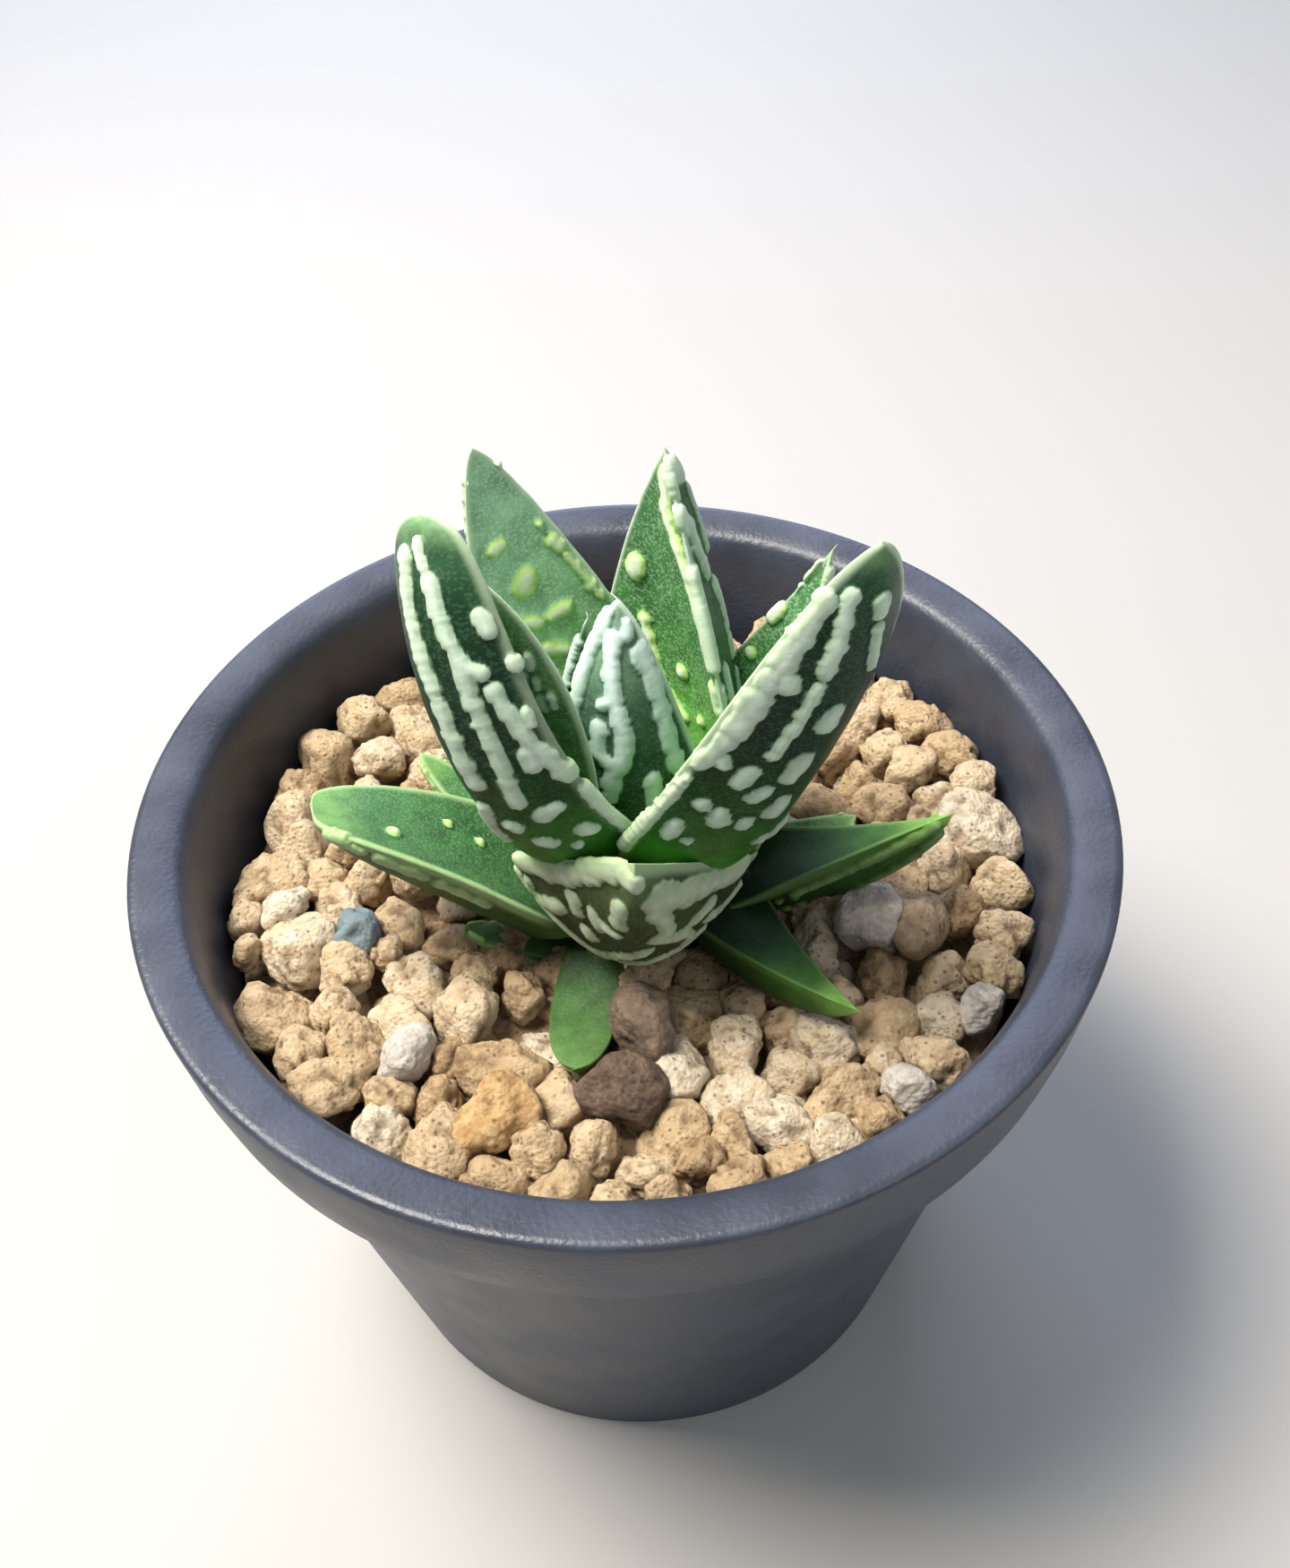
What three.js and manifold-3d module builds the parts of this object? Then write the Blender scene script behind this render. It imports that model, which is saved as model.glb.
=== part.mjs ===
// Potted haworthia: a rosette of keeled, white-warted leaves in a round pot of clay granules.
// Millimetres, +Z up, origin at the middle of the pot's underside.
import * as THREE from "three";
import { mergeVertices } from "three/addons/utils/BufferGeometryUtils.js";
import Module from "manifold-3d";

const wasm = await Module();
wasm.setup();

// driving dimensions
const PotHeight = 90;
const RimRadius = 60;
const MouthRadius = 53.8;
const WallThickness = 2;
const FootRadius = 42;
const FootWidth = 4;
const FootDepth = 2;
const DrainHoleRadius = 2.5;
const DrainCircle = 27;
const SoilDrop = 14.8;
const GroundDrop = 11;
const Gap = 0.35;
const StemRadius = 5;
const StemLength = 24;
const CrownX = 1;
const CrownY = -8;
const GranuleCount = 90;
const GranuleRadius = 5.8;
const BedRadius = 47.6;
const GoldenAngle = Math.PI * (3 - Math.sqrt(5));

const Crown = new THREE.Vector3(CrownX, CrownY, PotHeight - GroundDrop);
const Up = new THREE.Vector3(0, 0, 1);

const Plastic = { color: 0x2c2e34, roughness: 0.5, metalness: 0 };
const Clay = { color: 0xd8b27a, roughness: 0.95, metalness: 0 };
const LeafGreen = { color: 0x4a7c3c, roughness: 0.5, metalness: 0 };
const StemBrown = { color: 0x7a6a48, roughness: 0.9, metalness: 0 };

// a number from 0 to 1 that depends only on its two seeds
function chance(i, k) {
  const s = Math.sin(i * 12.9898 + k * 78.233) * 43758.5453;
  return s - Math.floor(s);
}

// closed solid from a three.js geometry, turned inside in if its faces point in
function solidOf(geometry) {
  const plain = geometry.clone();
  for (const extra of ["normal", "uv"]) plain.deleteAttribute(extra);
  const welded = mergeVertices(plain, 1e-4);
  const index = Array.from(welded.index.array);
  const triVerts = [];
  for (let k = 0; k < index.length; k += 3) {
    const [a, b, c] = index.slice(k, k + 3);
    if (a !== b && b !== c && c !== a) triVerts.push(a, b, c);
  }
  const at = (k) => new THREE.Vector3().fromBufferAttribute(welded.attributes.position, k);
  let volume = 0;
  for (let k = 0; k < triVerts.length; k += 3) {
    const [a, b, c] = triVerts.slice(k, k + 3).map(at);
    volume += a.dot(b.cross(c));
  }
  if (volume < 0) triVerts.reverse();
  return new wasm.Manifold(new wasm.Mesh({
    numProp: 3,
    vertProperties: new Float32Array(welded.attributes.position.array),
    triVerts: new Uint32Array(triVerts),
  }));
}

function largestBody(solid) {
  const bodies = solid.decompose();
  return bodies.reduce((best, body) => (body.volume() > best.volume() ? body : best));
}

function geometryOf(solid) {
  const mesh = solid.getMesh();
  const geometry = new THREE.BufferGeometry();
  const position = new THREE.BufferAttribute(new Float32Array(mesh.vertProperties), 3);
  geometry.setAttribute("position", position);
  geometry.setIndex(new THREE.BufferAttribute(new Uint32Array(mesh.triVerts), 1));
  geometry.computeVertexNormals();
  return geometry;
}

function lathe(profile, sides) {
  const points = profile.map(([r, z]) => new THREE.Vector2(r, z));
  return new THREE.LatheGeometry(points, sides).rotateX(Math.PI / 2);
}

function rod(radius, bottom, top, sides, x = 0, y = 0) {
  const geometry = new THREE.CylinderGeometry(radius, radius, top - bottom, sides);
  return geometry.rotateX(Math.PI / 2).translate(x, y, (top + bottom) / 2);
}

// Leaves. Each one's midline is a quadratic curve from its root near the crown to its tip.
// azimuth: degrees from +X; reach, side, height: the tip from the crown along the azimuth,
// across it and up; root: the same for the midline's start; bow and swing: how far the midline
// bends outwards and sideways; taper: the two powers of the outline; groove: depth of the
// hollow face over the half width, at root and tip; roll: degrees at root and tip.
const FullRoot = { rootWidth: 0.9, rootLength: 0.3 };
const PinchedRoot = { rootWidth: 0.5, rootLength: 0.28 };
const Leaves = [
  { name: "leaf_front", azimuth: 269.5, reach: 18.8, side: 0, height: 28.8,
    root: [2.5, 0, 12], bow: 0.3, swing: 0.5, width: 32.5, taper: [1.25, 1.05],
    groove: [0.42, 0.3], belly: 5.7, roll: [-2, -5], ...FullRoot },
  { name: "leaf_front_right", azimuth: 313, reach: 25, side: 9, height: 63,
    root: [1.5, -0.5, 12], bow: 3, swing: 0, width: 24.5, taper: [2.6, 0.63],
    groove: [0.35, 0.1], belly: 3.5, roll: [-4, -21], ...PinchedRoot },
  { name: "leaf_front_left", azimuth: 219, reach: 15, side: -10, height: 61,
    root: [0, -0.5, 14.5], bow: 6.5, swing: 2.5, width: 20, taper: [3, 0.31],
    groove: [0.36, 0.12], belly: 4, roll: [10, 6], ...PinchedRoot },
  { name: "leaf_heart", azimuth: 268, reach: -4.5, side: -0.5, height: 44.5,
    root: [-2, 1, 1.5], bow: 3.5, swing: -0.5, width: 22, taper: [1.7, 0.75],
    groove: [0.3, 0.12], belly: 3, roll: [1, 1], ...FullRoot },
  { name: "leaf_inner_left", azimuth: 190, reach: 13.5, side: -0.4, height: 52.7,
    root: [2.5, -4.5, 9.5], bow: -2, swing: 0, width: 21.2, taper: [2.3, 0.7],
    groove: [0.4, 0.1], belly: 2.5, roll: [-20, 30], ...FullRoot },
  { name: "leaf_heart_sliver", azimuth: 222.8, reach: -1.9, side: -7.4, height: 40.3,
    root: [5.3, -4.6, 21.1], bow: -3.1, swing: -2.6, width: 4.7, taper: [1.6, 0.8],
    groove: [0.3, 0.1], belly: 1.4, roll: [0, 0], ...FullRoot },
  { name: "leaf_back", azimuth: 62, reach: 15.5, side: 2, height: 56,
    root: [5.5, -1.5, 6.5], bow: 2, swing: 1.5, width: 25.5, taper: [2.3, 1],
    groove: [0.5, 0.13], belly: 5, roll: [-18, -36], ...FullRoot },
  { name: "leaf_back_right", azimuth: 30.5, reach: 26, side: -2, height: 44,
    root: [3.5, 3, 8], bow: 2.5, swing: 0, width: 20, taper: [1.45, 1.08],
    groove: [0.4, 0.15], belly: 3, roll: [3, -2], ...FullRoot },
  { name: "leaf_back_left", azimuth: 123, reach: 24.5, side: 2, height: 54,
    root: [3, -5.5, 7], bow: 2.5, swing: 0, width: 25.5, taper: [1.35, 0.7],
    groove: [0.4, 0.15], belly: 3, roll: [-1, -3], ...FullRoot },
  { name: "leaf_rear", azimuth: 86, reach: 27, side: 0, height: 22,
    root: [6, 0, 3], bow: 2.5, swing: 0, width: 19, taper: [2, 0.8],
    groove: [0.4, 0.15], belly: 3, roll: [0, 0], ...FullRoot },
  { name: "leaf_rear_right", azimuth: 43, reach: 27, side: 0, height: 17,
    root: [6, 0, 3], bow: 2.5, swing: 0, width: 18, taper: [2, 0.8],
    groove: [0.4, 0.15], belly: 3, roll: [0, 0], ...FullRoot },
  { name: "leaf_low_left", azimuth: 176, reach: 36.5, side: 2.5, height: 20,
    root: [8, -0.5, 2], bow: -2, swing: -0.5, width: 17.5, taper: [3.5, 0.22],
    groove: [0.34, 0.13], belly: 5.5, roll: [5, 26], ...FullRoot },
  { name: "leaf_low_right", azimuth: 2.5, reach: 37.5, side: -2.5, height: 13.5,
    root: [5.5, 1, 3], bow: 1.5, swing: 0.5, width: 16.5, taper: [1, 0.92],
    groove: [0.27, 0.14], belly: 6.5, roll: [7, -30], ...FullRoot },
  { name: "leaf_low_front_right", azimuth: 322, reach: 32.5, side: -2.5, height: 5,
    root: [6, 4.5, 5], bow: 0.5, swing: -1, width: 13.5, taper: [1.1, 0.94],
    groove: [0.32, 0.14], belly: 6, roll: [-5, -22], ...FullRoot },
  { name: "leaf_low_front", azimuth: 246, reach: 24.3, side: 2, height: -1.5,
    root: [8.4, -2.2, -1], bow: -2, swing: -0.5, width: 8.6, taper: [4, 0.55],
    groove: [0.2, 0.1], belly: 2.5, roll: [7, 9], ...FullRoot },
  { name: "leaf_under_right", azimuth: 18, reach: 30, side: 0, height: 3,
    root: [6, 0, 0], bow: 2, swing: 0, width: 15, taper: [2, 0.8],
    groove: [0.35, 0.12], belly: 3, roll: [0, 0], ...FullRoot },
  { name: "leaf_under_left", azimuth: 185, reach: 21.5, side: 0, height: -1,
    root: [7, 0, -6], bow: 1, swing: 0, width: 7, taper: [2, 0.8],
    groove: [0.2, 0.1], belly: 2, roll: [0, 0], ...FullRoot },
  { name: "leaf_under_back_left", azimuth: 139, reach: 36.5, side: 0, height: 4,
    root: [6, 0, 0], bow: 2, swing: 0, width: 8, taper: [2.2, 0.6],
    groove: [0.3, 0.12], belly: 2.5, roll: [0, 0], ...FullRoot },
];

// Warts and ridges. in: the hollow face, out: the keeled face; each stroke is a radius and
// its points, along the leaf from 0 to 1 and across it from -1 to 1; one point is a wart.
const Marks = {
  leaf_front: { out: [
    [1.5, [0.21, -1], [0.52, -0.89], [0.88, -0.89]], [2.05, [0.76, 0.52], [0.58, 0.76]],
    [1.75, [0.58, 0.77], [0.33, 0.95]], [1.35, [0.04, -0.75], [0.29, -0.7]],
    [1.1, [0.45, -0.72], [0.4, -0.63]], [0.95, [0.51, -0.56], [0.46, -0.44]],
    [1.1, [0.75, -0.38], [0.61, -0.29]], [0.95, [0.02, -0.57], [0.02, -0.45]],
    [0.9, [0.33, -0.49], [0.3, -0.42]], [0.85, [0.02, -0.29], [0.27, -0.16], [0.39, 0.08]],
    [0.85, [0.02, -0.08], [0.15, 0.03], [0.17, 0.15]],
    [1.05, [0.73, 0.31], [0.6, 0.38], [0.5, 0.35]], [1.0, [0.49, 0.22], [0.35, 0.4]],
    [1.0, [0.38, 0.55], [0.37, 0.69]], [0.85, [0.26, 0.61], [0.15, 0.68]],
    [0.9, [0.15, 0.73], [0.16, 0.81]]] },
  leaf_front_right: { out: [
    [0.95, [0.9, -0.87], [0.84, -0.85]], [1.25, [0.83, -0.85], [0.73, -0.86]],
    [1.4, [0.75, -0.76], [0.74, -0.71]], [1.45, [0.7, -0.86], [0.62, -0.86]],
    [1.05, [0.59, -0.88], [0.52, -0.94]], [0.95, [0.55, -0.83], [0.54, -0.8]],
    [0.85, [0.92, -0.57], [0.84, -0.41]], [1.0, [0.83, -0.42], [0.78, -0.4]],
    [0.8, [0.75, -0.4], [0.7, -0.41]], [0.95, [0.91, 0.15], [0.89, 0.16]],
    [0.75, [0.86, 0.19], [0.78, 0.3]], [1.2, [0.7, -0.06], [0.67, -0.1]],
    [1.15, [0.51, -0.61], [0.54, -0.57]], [1.2, [0.58, -0.16], [0.54, -0.2]], [1.05, [0.43, -0.76]],
    [1.3, [0.42, -0.6], [0.4, -0.57]], [0.95, [0.48, -0.43], [0.5, -0.37]],
    [1.25, [0.44, -0.15], [0.47, -0.12]], [1.05, [0.4, -0.35], [0.41, -0.35]],
    [1.0, [0.36, -0.83], [0.32, -0.82]], [1.4, [0.34, 0.17], [0.36, 0.2]], [1.1, [0.34, -0.03]]] },
  leaf_front_left: { out: [
    [1.15, [0.94, -0.25], [0.69, 0.12], [0.52, 0.16]],
    [1.1, [0.45, 0.07], [0.38, -0.07], [0.34, -0.01]], [0.6, [0.97, 0.07], [0.93, 0.22]],
    [0.95, [0.91, 0.29], [0.77, 0.5]], [0.85, [0.77, 0.53], [0.75, 0.68]],
    [0.95, [0.77, 0.5], [0.59, 0.54], [0.46, 0.49]], [0.95, [0.85, 0.85], [0.82, 0.87]],
    [0.95, [0.71, 0.74], [0.59, 0.85]], [1.25, [0.57, 0.8], [0.54, 0.78]],
    [1.1, [0.58, 0.87], [0.49, 0.96]], [0.75, [0.44, 0.99], [0.26, 1]],
    [1.1, [0.41, 0.62], [0.42, 0.75]], [1.05, [0.4, 0.26], [0.39, 0.3]],
    [0.85, [0.34, 0.41], [0.32, 0.49]], [1.1, [0.33, 0.8], [0.32, 0.83]],
    [0.8, [0.76, 0.97], [0.75, 0.97]]] },
  leaf_heart: { out: [
    [0.85, [0.97, -0.76], [0.89, -0.9], [0.8, -0.92], [0.64, -0.86], [0.58, -0.76]],
    [1.0, [0.92, -0.25], [0.83, -0.25], [0.68, 0.02], [0.63, -0.02], [0.58, -0.21], [0.52, -0.24]],
    [0.95, [0.7, -0.43], [0.64, -0.44], [0.61, -0.26]], [0.75, [0.76, -0.41], [0.77, -0.25]],
    [0.75, [0.95, 0.44], [0.92, 0.36]], [1.2, [0.88, 0.65], [0.8, 0.72], [0.56, 0.71]],
    [1.15, [0.55, 0.35], [0.49, 0.35]]] },
  leaf_heart_sliver: { out: [
    [0.75, [0.85, -0.35], [0.4, -0.3]]] },
  leaf_inner_left: { out: [
    [0.95, [0.79, 0.24], [0.78, 0.21]], [0.75, [0.72, 0.45], [0.68, 0.43]],
    [0.8, [0.71, 0.63], [0.68, 0.62]], [0.8, [0.63, 0.21], [0.6, 0.44]],
    [0.75, [0.61, 0.55], [0.58, 0.59]]] },
  leaf_back: { out: [
    [1.2, [0.97, -0.71], [0.94, -0.37]], [1.0, [0.89, -0.02], [0.75, -0.21]],
    [1.0, [0.88, -0.99], [0.84, -0.8], [0.72, -0.65]],
    [1.05, [0.68, -0.5], [0.61, -0.31], [0.55, -0.36]], [1.05, [0.52, -0.37], [0.48, -0.42]],
    [1.0, [0.5, -0.84], [0.44, -0.84]], [0.95, [0.43, -0.44], [0.37, -0.46]]],
    in: [
    [1.3, [0.68, 0.67], [0.65, 0.7]], [1.45, [0.94, -0.45], [0.86, -0.22], [0.74, -0.8]],
    [1.3, [0.71, -0.84], [0.62, -0.98], [0.54, -0.95]], [1.35, [0.43, -0.08]],
    [0.95, [0.48, -0.88], [0.42, -0.89]], [0.85, [0.53, 0.49], [0.38, 0.26]],
    [0.75, [0.36, 0.21], [0.3, -0.03]], [1.0, [0.32, -0.32]]] },
  leaf_back_right: { in: [
    [0.85, [0.77, 0.9], [0.73, 0.92]], [0.9, [0.6, 0.7]]] },
  leaf_back_left: { in: [
    [0.85, [0.78, 0.46], [0.78, 0.22]], [1.5, [0.67, 0.07], [0.68, -0.03]],
    [0.9, [0.6, 0.4], [0.57, 0.06]], [0.95, [0.57, -0.13], [0.57, -0.4]],
    [0.9, [0.51, 0.13], [0.48, -0.1]], [0.95, [0.73, -0.76], [0.71, -0.8]],
    [0.55, [0.69, -0.82], [0.55, -0.89]], [0.85, [0.59, -0.86]]] },
  leaf_low_left: { out: [
    [1.0, [0.95, 0.9], [0.85, 0.88]], [1.1, [0.78, 0.86], [0.62, 0.84]],
    [1.0, [0.55, 0.84], [0.36, 0.84]]],
    in: [
    [1.05, [0.73, 0.26]], [0.75, [0.51, -0.38]]] },
};

// the plain pattern of a keeled face that has no strokes of its own
function usualMarks(seed) {
  const strokes = [
    [0.8, [0.9, -0.75], [0.4, -0.8]],
    [0.8, [0.9, 0.75], [0.4, 0.8]],
    [0.9, [0.92, 0], [0.5, 0.1]],
  ];
  for (let k = 0; k < 3; k++) {
    const across = 1.3 * chance(seed, k) - 0.65;
    strokes.push([0.9 + 0.3 * chance(seed, k + 20), [0.2 + 0.08 * k, across]]);
  }
  return strokes;
}

// half width of the outline: full width times (1 - t^a)^b, narrower towards the root
function halfWidth(leaf, t) {
  const [a, b] = leaf.taper;
  const q = Math.min(1, t / leaf.rootLength);
  const root = leaf.rootWidth + (1 - leaf.rootWidth) * q * q * (3 - 2 * q);
  return (leaf.width / 2) * Math.pow(Math.max(0, 1 - Math.pow(t, a)), b) * root;
}

// point of the leaf's surface at t along it and angle around its section
function leafPoint(leaf, t, angle) {
  const a = THREE.MathUtils.degToRad(leaf.azimuth);
  const out = new THREE.Vector3(Math.cos(a), Math.sin(a), 0);
  const across = new THREE.Vector3(-Math.sin(a), Math.cos(a), 0);
  const place = (o, s, u) => Crown.clone()
    .addScaledVector(out, o).addScaledVector(across, s).addScaledVector(Up, u);
  const root = place(...leaf.root);
  const tip = place(leaf.reach, leaf.side, leaf.height);
  const down = new THREE.Vector3().crossVectors(tip.clone().sub(root), across).normalize();
  if (down.dot(out) < 0) down.negate();
  const bend = root.clone().add(tip).multiplyScalar(0.5)
    .addScaledVector(down, 2 * leaf.bow).addScaledVector(across, 2 * leaf.swing);
  const middle = root.clone().multiplyScalar((1 - t) * (1 - t))
    .addScaledVector(bend, 2 * t * (1 - t)).addScaledVector(tip, t * t);
  const tangent = bend.clone().sub(root).multiplyScalar(1 - t)
    .addScaledVector(tip.clone().sub(bend), t).normalize();
  const wide = across.clone().addScaledVector(tangent, -across.dot(tangent)).normalize();
  const face = new THREE.Vector3().crossVectors(tangent, wide);
  if (face.dot(Up.clone().sub(out)) < 0) face.negate();
  const roll = THREE.MathUtils.degToRad(THREE.MathUtils.lerp(...leaf.roll, t));
  const x = wide.clone().multiplyScalar(Math.cos(roll)).addScaledVector(face, Math.sin(roll));
  const y = face.clone().multiplyScalar(Math.cos(roll)).addScaledVector(wide, -Math.sin(roll));
  const half = halfWidth(leaf, t);
  const xi = Math.cos(angle);
  const s = Math.sin(angle);
  const hollow = THREE.MathUtils.lerp(...leaf.groove, t) * half * (1 - xi * xi);
  const edge = 1.1 * Math.pow((2 * half) / leaf.width, 0.8);
  const keel = 0.2 + 0.4 * t;
  const wedge = Math.pow(1 - Math.abs(xi), 1.1);
  const belly = leaf.belly * Math.pow(1 - Math.pow(t, 2.5), 0.7)
    * ((1 - keel) * (1 - xi * xi) + keel * wedge);
  const depth = s < 0 ? belly * Math.pow(-s, 0.3) : 0;
  return middle.addScaledVector(x, xi * half).addScaledVector(y, edge * s - hollow - depth);
}

// closed skin over rings of equal length; the ends are a point, or a flat strip of pairs
function skin(rings, apex) {
  const sides = rings[0].length;
  const points = rings.flat();
  const faces = [];
  for (let i = 0; i + 1 < rings.length; i++) {
    for (let j = 0; j < sides; j++) {
      const k = (j + 1) % sides;
      const [a, b, c, d] = [i * sides + j, i * sides + k, (i + 1) * sides + k, (i + 1) * sides + j];
      faces.push(a, b, c, a, c, d);
    }
  }
  for (let j = 0; j < sides / 2; j++) {
    const [a, b] = [j, j + 1];
    const [c, d] = [(sides - j - 1) % sides, (sides - j) % sides];
    if (b !== c) faces.push(a, c, b);
    if (a !== d) faces.push(a, d, c);
  }
  const last = (rings.length - 1) * sides;
  points.push(apex);
  for (let j = 0; j < sides; j++) faces.push(last + j, last + ((j + 1) % sides), points.length - 1);
  const geometry = new THREE.BufferGeometry().setFromPoints(points);
  geometry.setIndex(faces);
  return geometry;
}

// ring of points moved outwards in its own plane, with its corners mitred
function growRing(ring, grow) {
  const count = ring.length;
  const axis = new THREE.Vector3();
  ring.forEach((point, j) => axis.add(point.clone().cross(ring[(j + 1) % count])));
  axis.normalize();
  const normals = ring.map((point, j) =>
    ring[(j + 1) % count].clone().sub(point).normalize().cross(axis));
  return ring.map((point, j) => {
    const before = normals[(j + count - 1) % count];
    const both = before.clone().add(normals[j]);
    return point.clone().addScaledVector(both, grow / Math.max(0.2, 1 + before.dot(normals[j])));
  });
}

function leafSkin(leaf, grow) {
  const long = leaf.height > 30;
  const steps = long ? 9 : 7;
  const sides = long ? 10 : 8;
  const rings = [];
  for (let i = 0; i < steps; i++) {
    const t = 1 - Math.pow(1 - i / steps, 1.5);
    const ring = [];
    for (let j = 0; j < sides; j++) {
      ring.push(leafPoint(leaf, t, (2 * Math.PI * j) / sides));
    }
    rings.push(growRing(ring, grow));
  }
  const tip = leafPoint(leaf, 1, Math.PI / 2);
  const away = tip.clone().sub(leafPoint(leaf, 0.97, Math.PI / 2)).normalize();
  const back = leafPoint(leaf, 0, 0).sub(leafPoint(leaf, 0.03, 0)).normalize();
  for (const point of rings[0]) point.addScaledVector(back, grow);
  return skin(rings, tip.addScaledVector(away, 0.5 + grow));
}

// outward direction of the surface, from two small steps along and around it
function leafNormal(leaf, t, angle) {
  const along = leafPoint(leaf, t + 0.01, angle).sub(leafPoint(leaf, t - 0.01, angle));
  const around = leafPoint(leaf, t, angle + 0.05).sub(leafPoint(leaf, t, angle - 0.05));
  const normal = along.cross(around).normalize();
  const middle = leafPoint(leaf, t, 0).add(leafPoint(leaf, t, Math.PI)).multiplyScalar(0.5);
  const deep = leafPoint(leaf, t, 1.5 * Math.PI).add(leafPoint(leaf, t, 0.5 * Math.PI));
  const heart = middle.lerp(deep.multiplyScalar(0.5), 1 - Math.abs(Math.cos(angle)));
  if (normal.dot(leafPoint(leaf, t, angle).sub(heart)) < 0) normal.negate();
  return normal;
}

// Both kinds of mark are low prisms whose sides go into the leaf: their height, and the depths
// of their edge and of their root.
const markRise = (radius) => Math.min(0.55 * radius, 0.6);
const markSeat = (radius) => -0.12 * radius;
const markRoot = (radius) => -Math.min(0.9 * radius, 0.8);

// a wart: six facets that rise to its middle, and six below that root it
function wart({ point, normal }, radius, grow) {
  const side = new THREE.Vector3().crossVectors(normal, Up).normalize();
  const other = new THREE.Vector3().crossVectors(normal, side);
  const at = (across, rise, a) => point.clone().addScaledVector(normal, rise)
    .addScaledVector(side, across * Math.cos(a)).addScaledVector(other, across * Math.sin(a));
  const ring = [];
  for (let j = 0; j < 6; j++) {
    ring.push(at(1.1 * radius + 1.5 * grow, markSeat(radius), (Math.PI * j) / 3));
  }
  const bottom = markRoot(radius) - 1.3 * grow;
  return spindle([ring], at(0, bottom, 0), at(0, markRise(radius) + 1.3 * grow, 0));
}

// a ridge: a low five-sided bar along the stroke, pointed at both ends
function ridge(stations, radius, grow) {
  const rise = markRise(radius) + grow;
  const wide = 1.1 * radius + 1.2 * grow;
  const flat = 0.55 * radius + grow;
  const seat = markSeat(radius);
  const profile = [[wide, seat], [flat, rise], [-flat, rise], [-wide, seat],
    [0, markRoot(radius) - 1.3 * grow]];
  const count = stations.length;
  const ahead = (i) => stations[Math.min(count - 1, i + 1)].point.clone()
    .sub(stations[Math.max(0, i - 1)].point).normalize();
  const rings = stations.map(({ point, normal }, i) => {
    const cross = new THREE.Vector3().crossVectors(normal, ahead(i)).normalize();
    return profile.map(([x, y]) => point.clone().addScaledVector(cross, x)
      .addScaledVector(normal, y));
  });
  const end = (i, sign) => stations[i].point.clone()
    .addScaledVector(ahead(i), sign * (radius + 1.5 * grow))
    .addScaledVector(stations[i].normal, seat);
  return spindle(rings, end(0, -1), end(count - 1, 1));
}

// closed skin over rings of equal length with a point before the first and after the last
function spindle(rings, start, end) {
  const sides = rings[0].length;
  const points = [...rings.flat(), start, end];
  const last = (rings.length - 1) * sides;
  const faces = [];
  for (let j = 0; j < sides; j++) {
    const k = (j + 1) % sides;
    for (let i = 0; i < last; i += sides) {
      faces.push(i + j, i + k, i + sides + k, i + j, i + sides + k, i + sides + j);
    }
    faces.push(j, points.length - 2, k, last + j, last + k, points.length - 1);
  }
  return new THREE.BufferGeometry().setFromPoints(points).setIndex(faces);
}

// place and outward direction on the leaf of one point of a stroke
function stationAt(leaf, [t, across], inside) {
  const angle = (inside ? 1 : -1) * Math.acos(across);
  const safe = THREE.MathUtils.clamp(t, 0.05, 0.95);
  return { point: leafPoint(leaf, safe, angle), normal: leafNormal(leaf, safe, angle) };
}

// a stroke shorter than about its own width is a wart at its middle
function markSolids(leaf, strokes, inside, grow) {
  return strokes.map(([radius, ...route]) => {
    const stations = route.map((place) => stationAt(leaf, place, inside));
    const [first, last] = [route[0], route[route.length - 1]];
    const length = stations[0].point.distanceTo(stations[stations.length - 1].point);
    if (route.length > 2 || length > 1.8 * radius) return solidOf(ridge(stations, radius, grow));
    const middle = [(first[0] + last[0]) / 2, (first[1] + last[1]) / 2];
    return solidOf(wart(stationAt(leaf, middle, inside), radius, grow));
  });
}

// Leaves give way, with a gap, to the ones listed before them and to those leaves' marks that
// reach them, and each keeps its largest body.
const MarkedHeight = 15;
const leafSolids = [];
const grownLeaves = [];
const grownMarks = [];
Leaves.forEach((leaf, seed) => {
  const own = Marks[leaf.name] ?? {};
  const keeled = own.out ?? (leaf.height > MarkedHeight ? usualMarks(seed) : []);
  const marksOf = (grow) => [...markSolids(leaf, keeled, false, grow),
    ...markSolids(leaf, own.in ?? [], true, grow)];
  let whole = wasm.Manifold.union([solidOf(leafSkin(leaf, 0)), ...marksOf(0)]);
  if (seed > 0) whole = largestBody(whole.subtract(wasm.Manifold.union(grownLeaves)));
  const reached = grownMarks.filter((mark) => whole.intersect(mark).volume() > 0);
  leafSolids.push(largestBody(wasm.Manifold.difference([whole, ...reached])));
  grownLeaves.push(solidOf(leafSkin(leaf, Gap)));
  grownMarks.push(...marksOf(Gap));
});
const allLeaves = wasm.Manifold.union(grownLeaves);

// Pot: rolled rim, hanging collar, tapered wall, floor with drain holes and a foot ring.
const floorTop = FootDepth + WallThickness;
const wallAt = (z) => FootRadius + (54.2 - FootRadius) * (z / (PotHeight - 14));
const potProfile = [
  [0, FootDepth], [FootRadius - FootWidth, FootDepth], [FootRadius - FootWidth, 0],
  [FootRadius, 0], [wallAt(30), 30], [wallAt(PotHeight - 14), PotHeight - 14],
  [RimRadius - 1.6, PotHeight - 14], [RimRadius - 0.7, PotHeight - 8],
  [RimRadius, PotHeight - 0.6], [RimRadius - 0.5, PotHeight],
  [RimRadius - 3.5, PotHeight - 0.5], [MouthRadius + 0.9, PotHeight - 0.9],
  [MouthRadius, PotHeight - 1.8], [MouthRadius - 0.9, PotHeight - 4],
  [MouthRadius - 2, PotHeight - 14], [wallAt(30) - WallThickness, 30],
  [FootRadius - WallThickness, floorTop], [0, floorTop],
];
let pot = solidOf(lathe(potProfile, 40));
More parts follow.
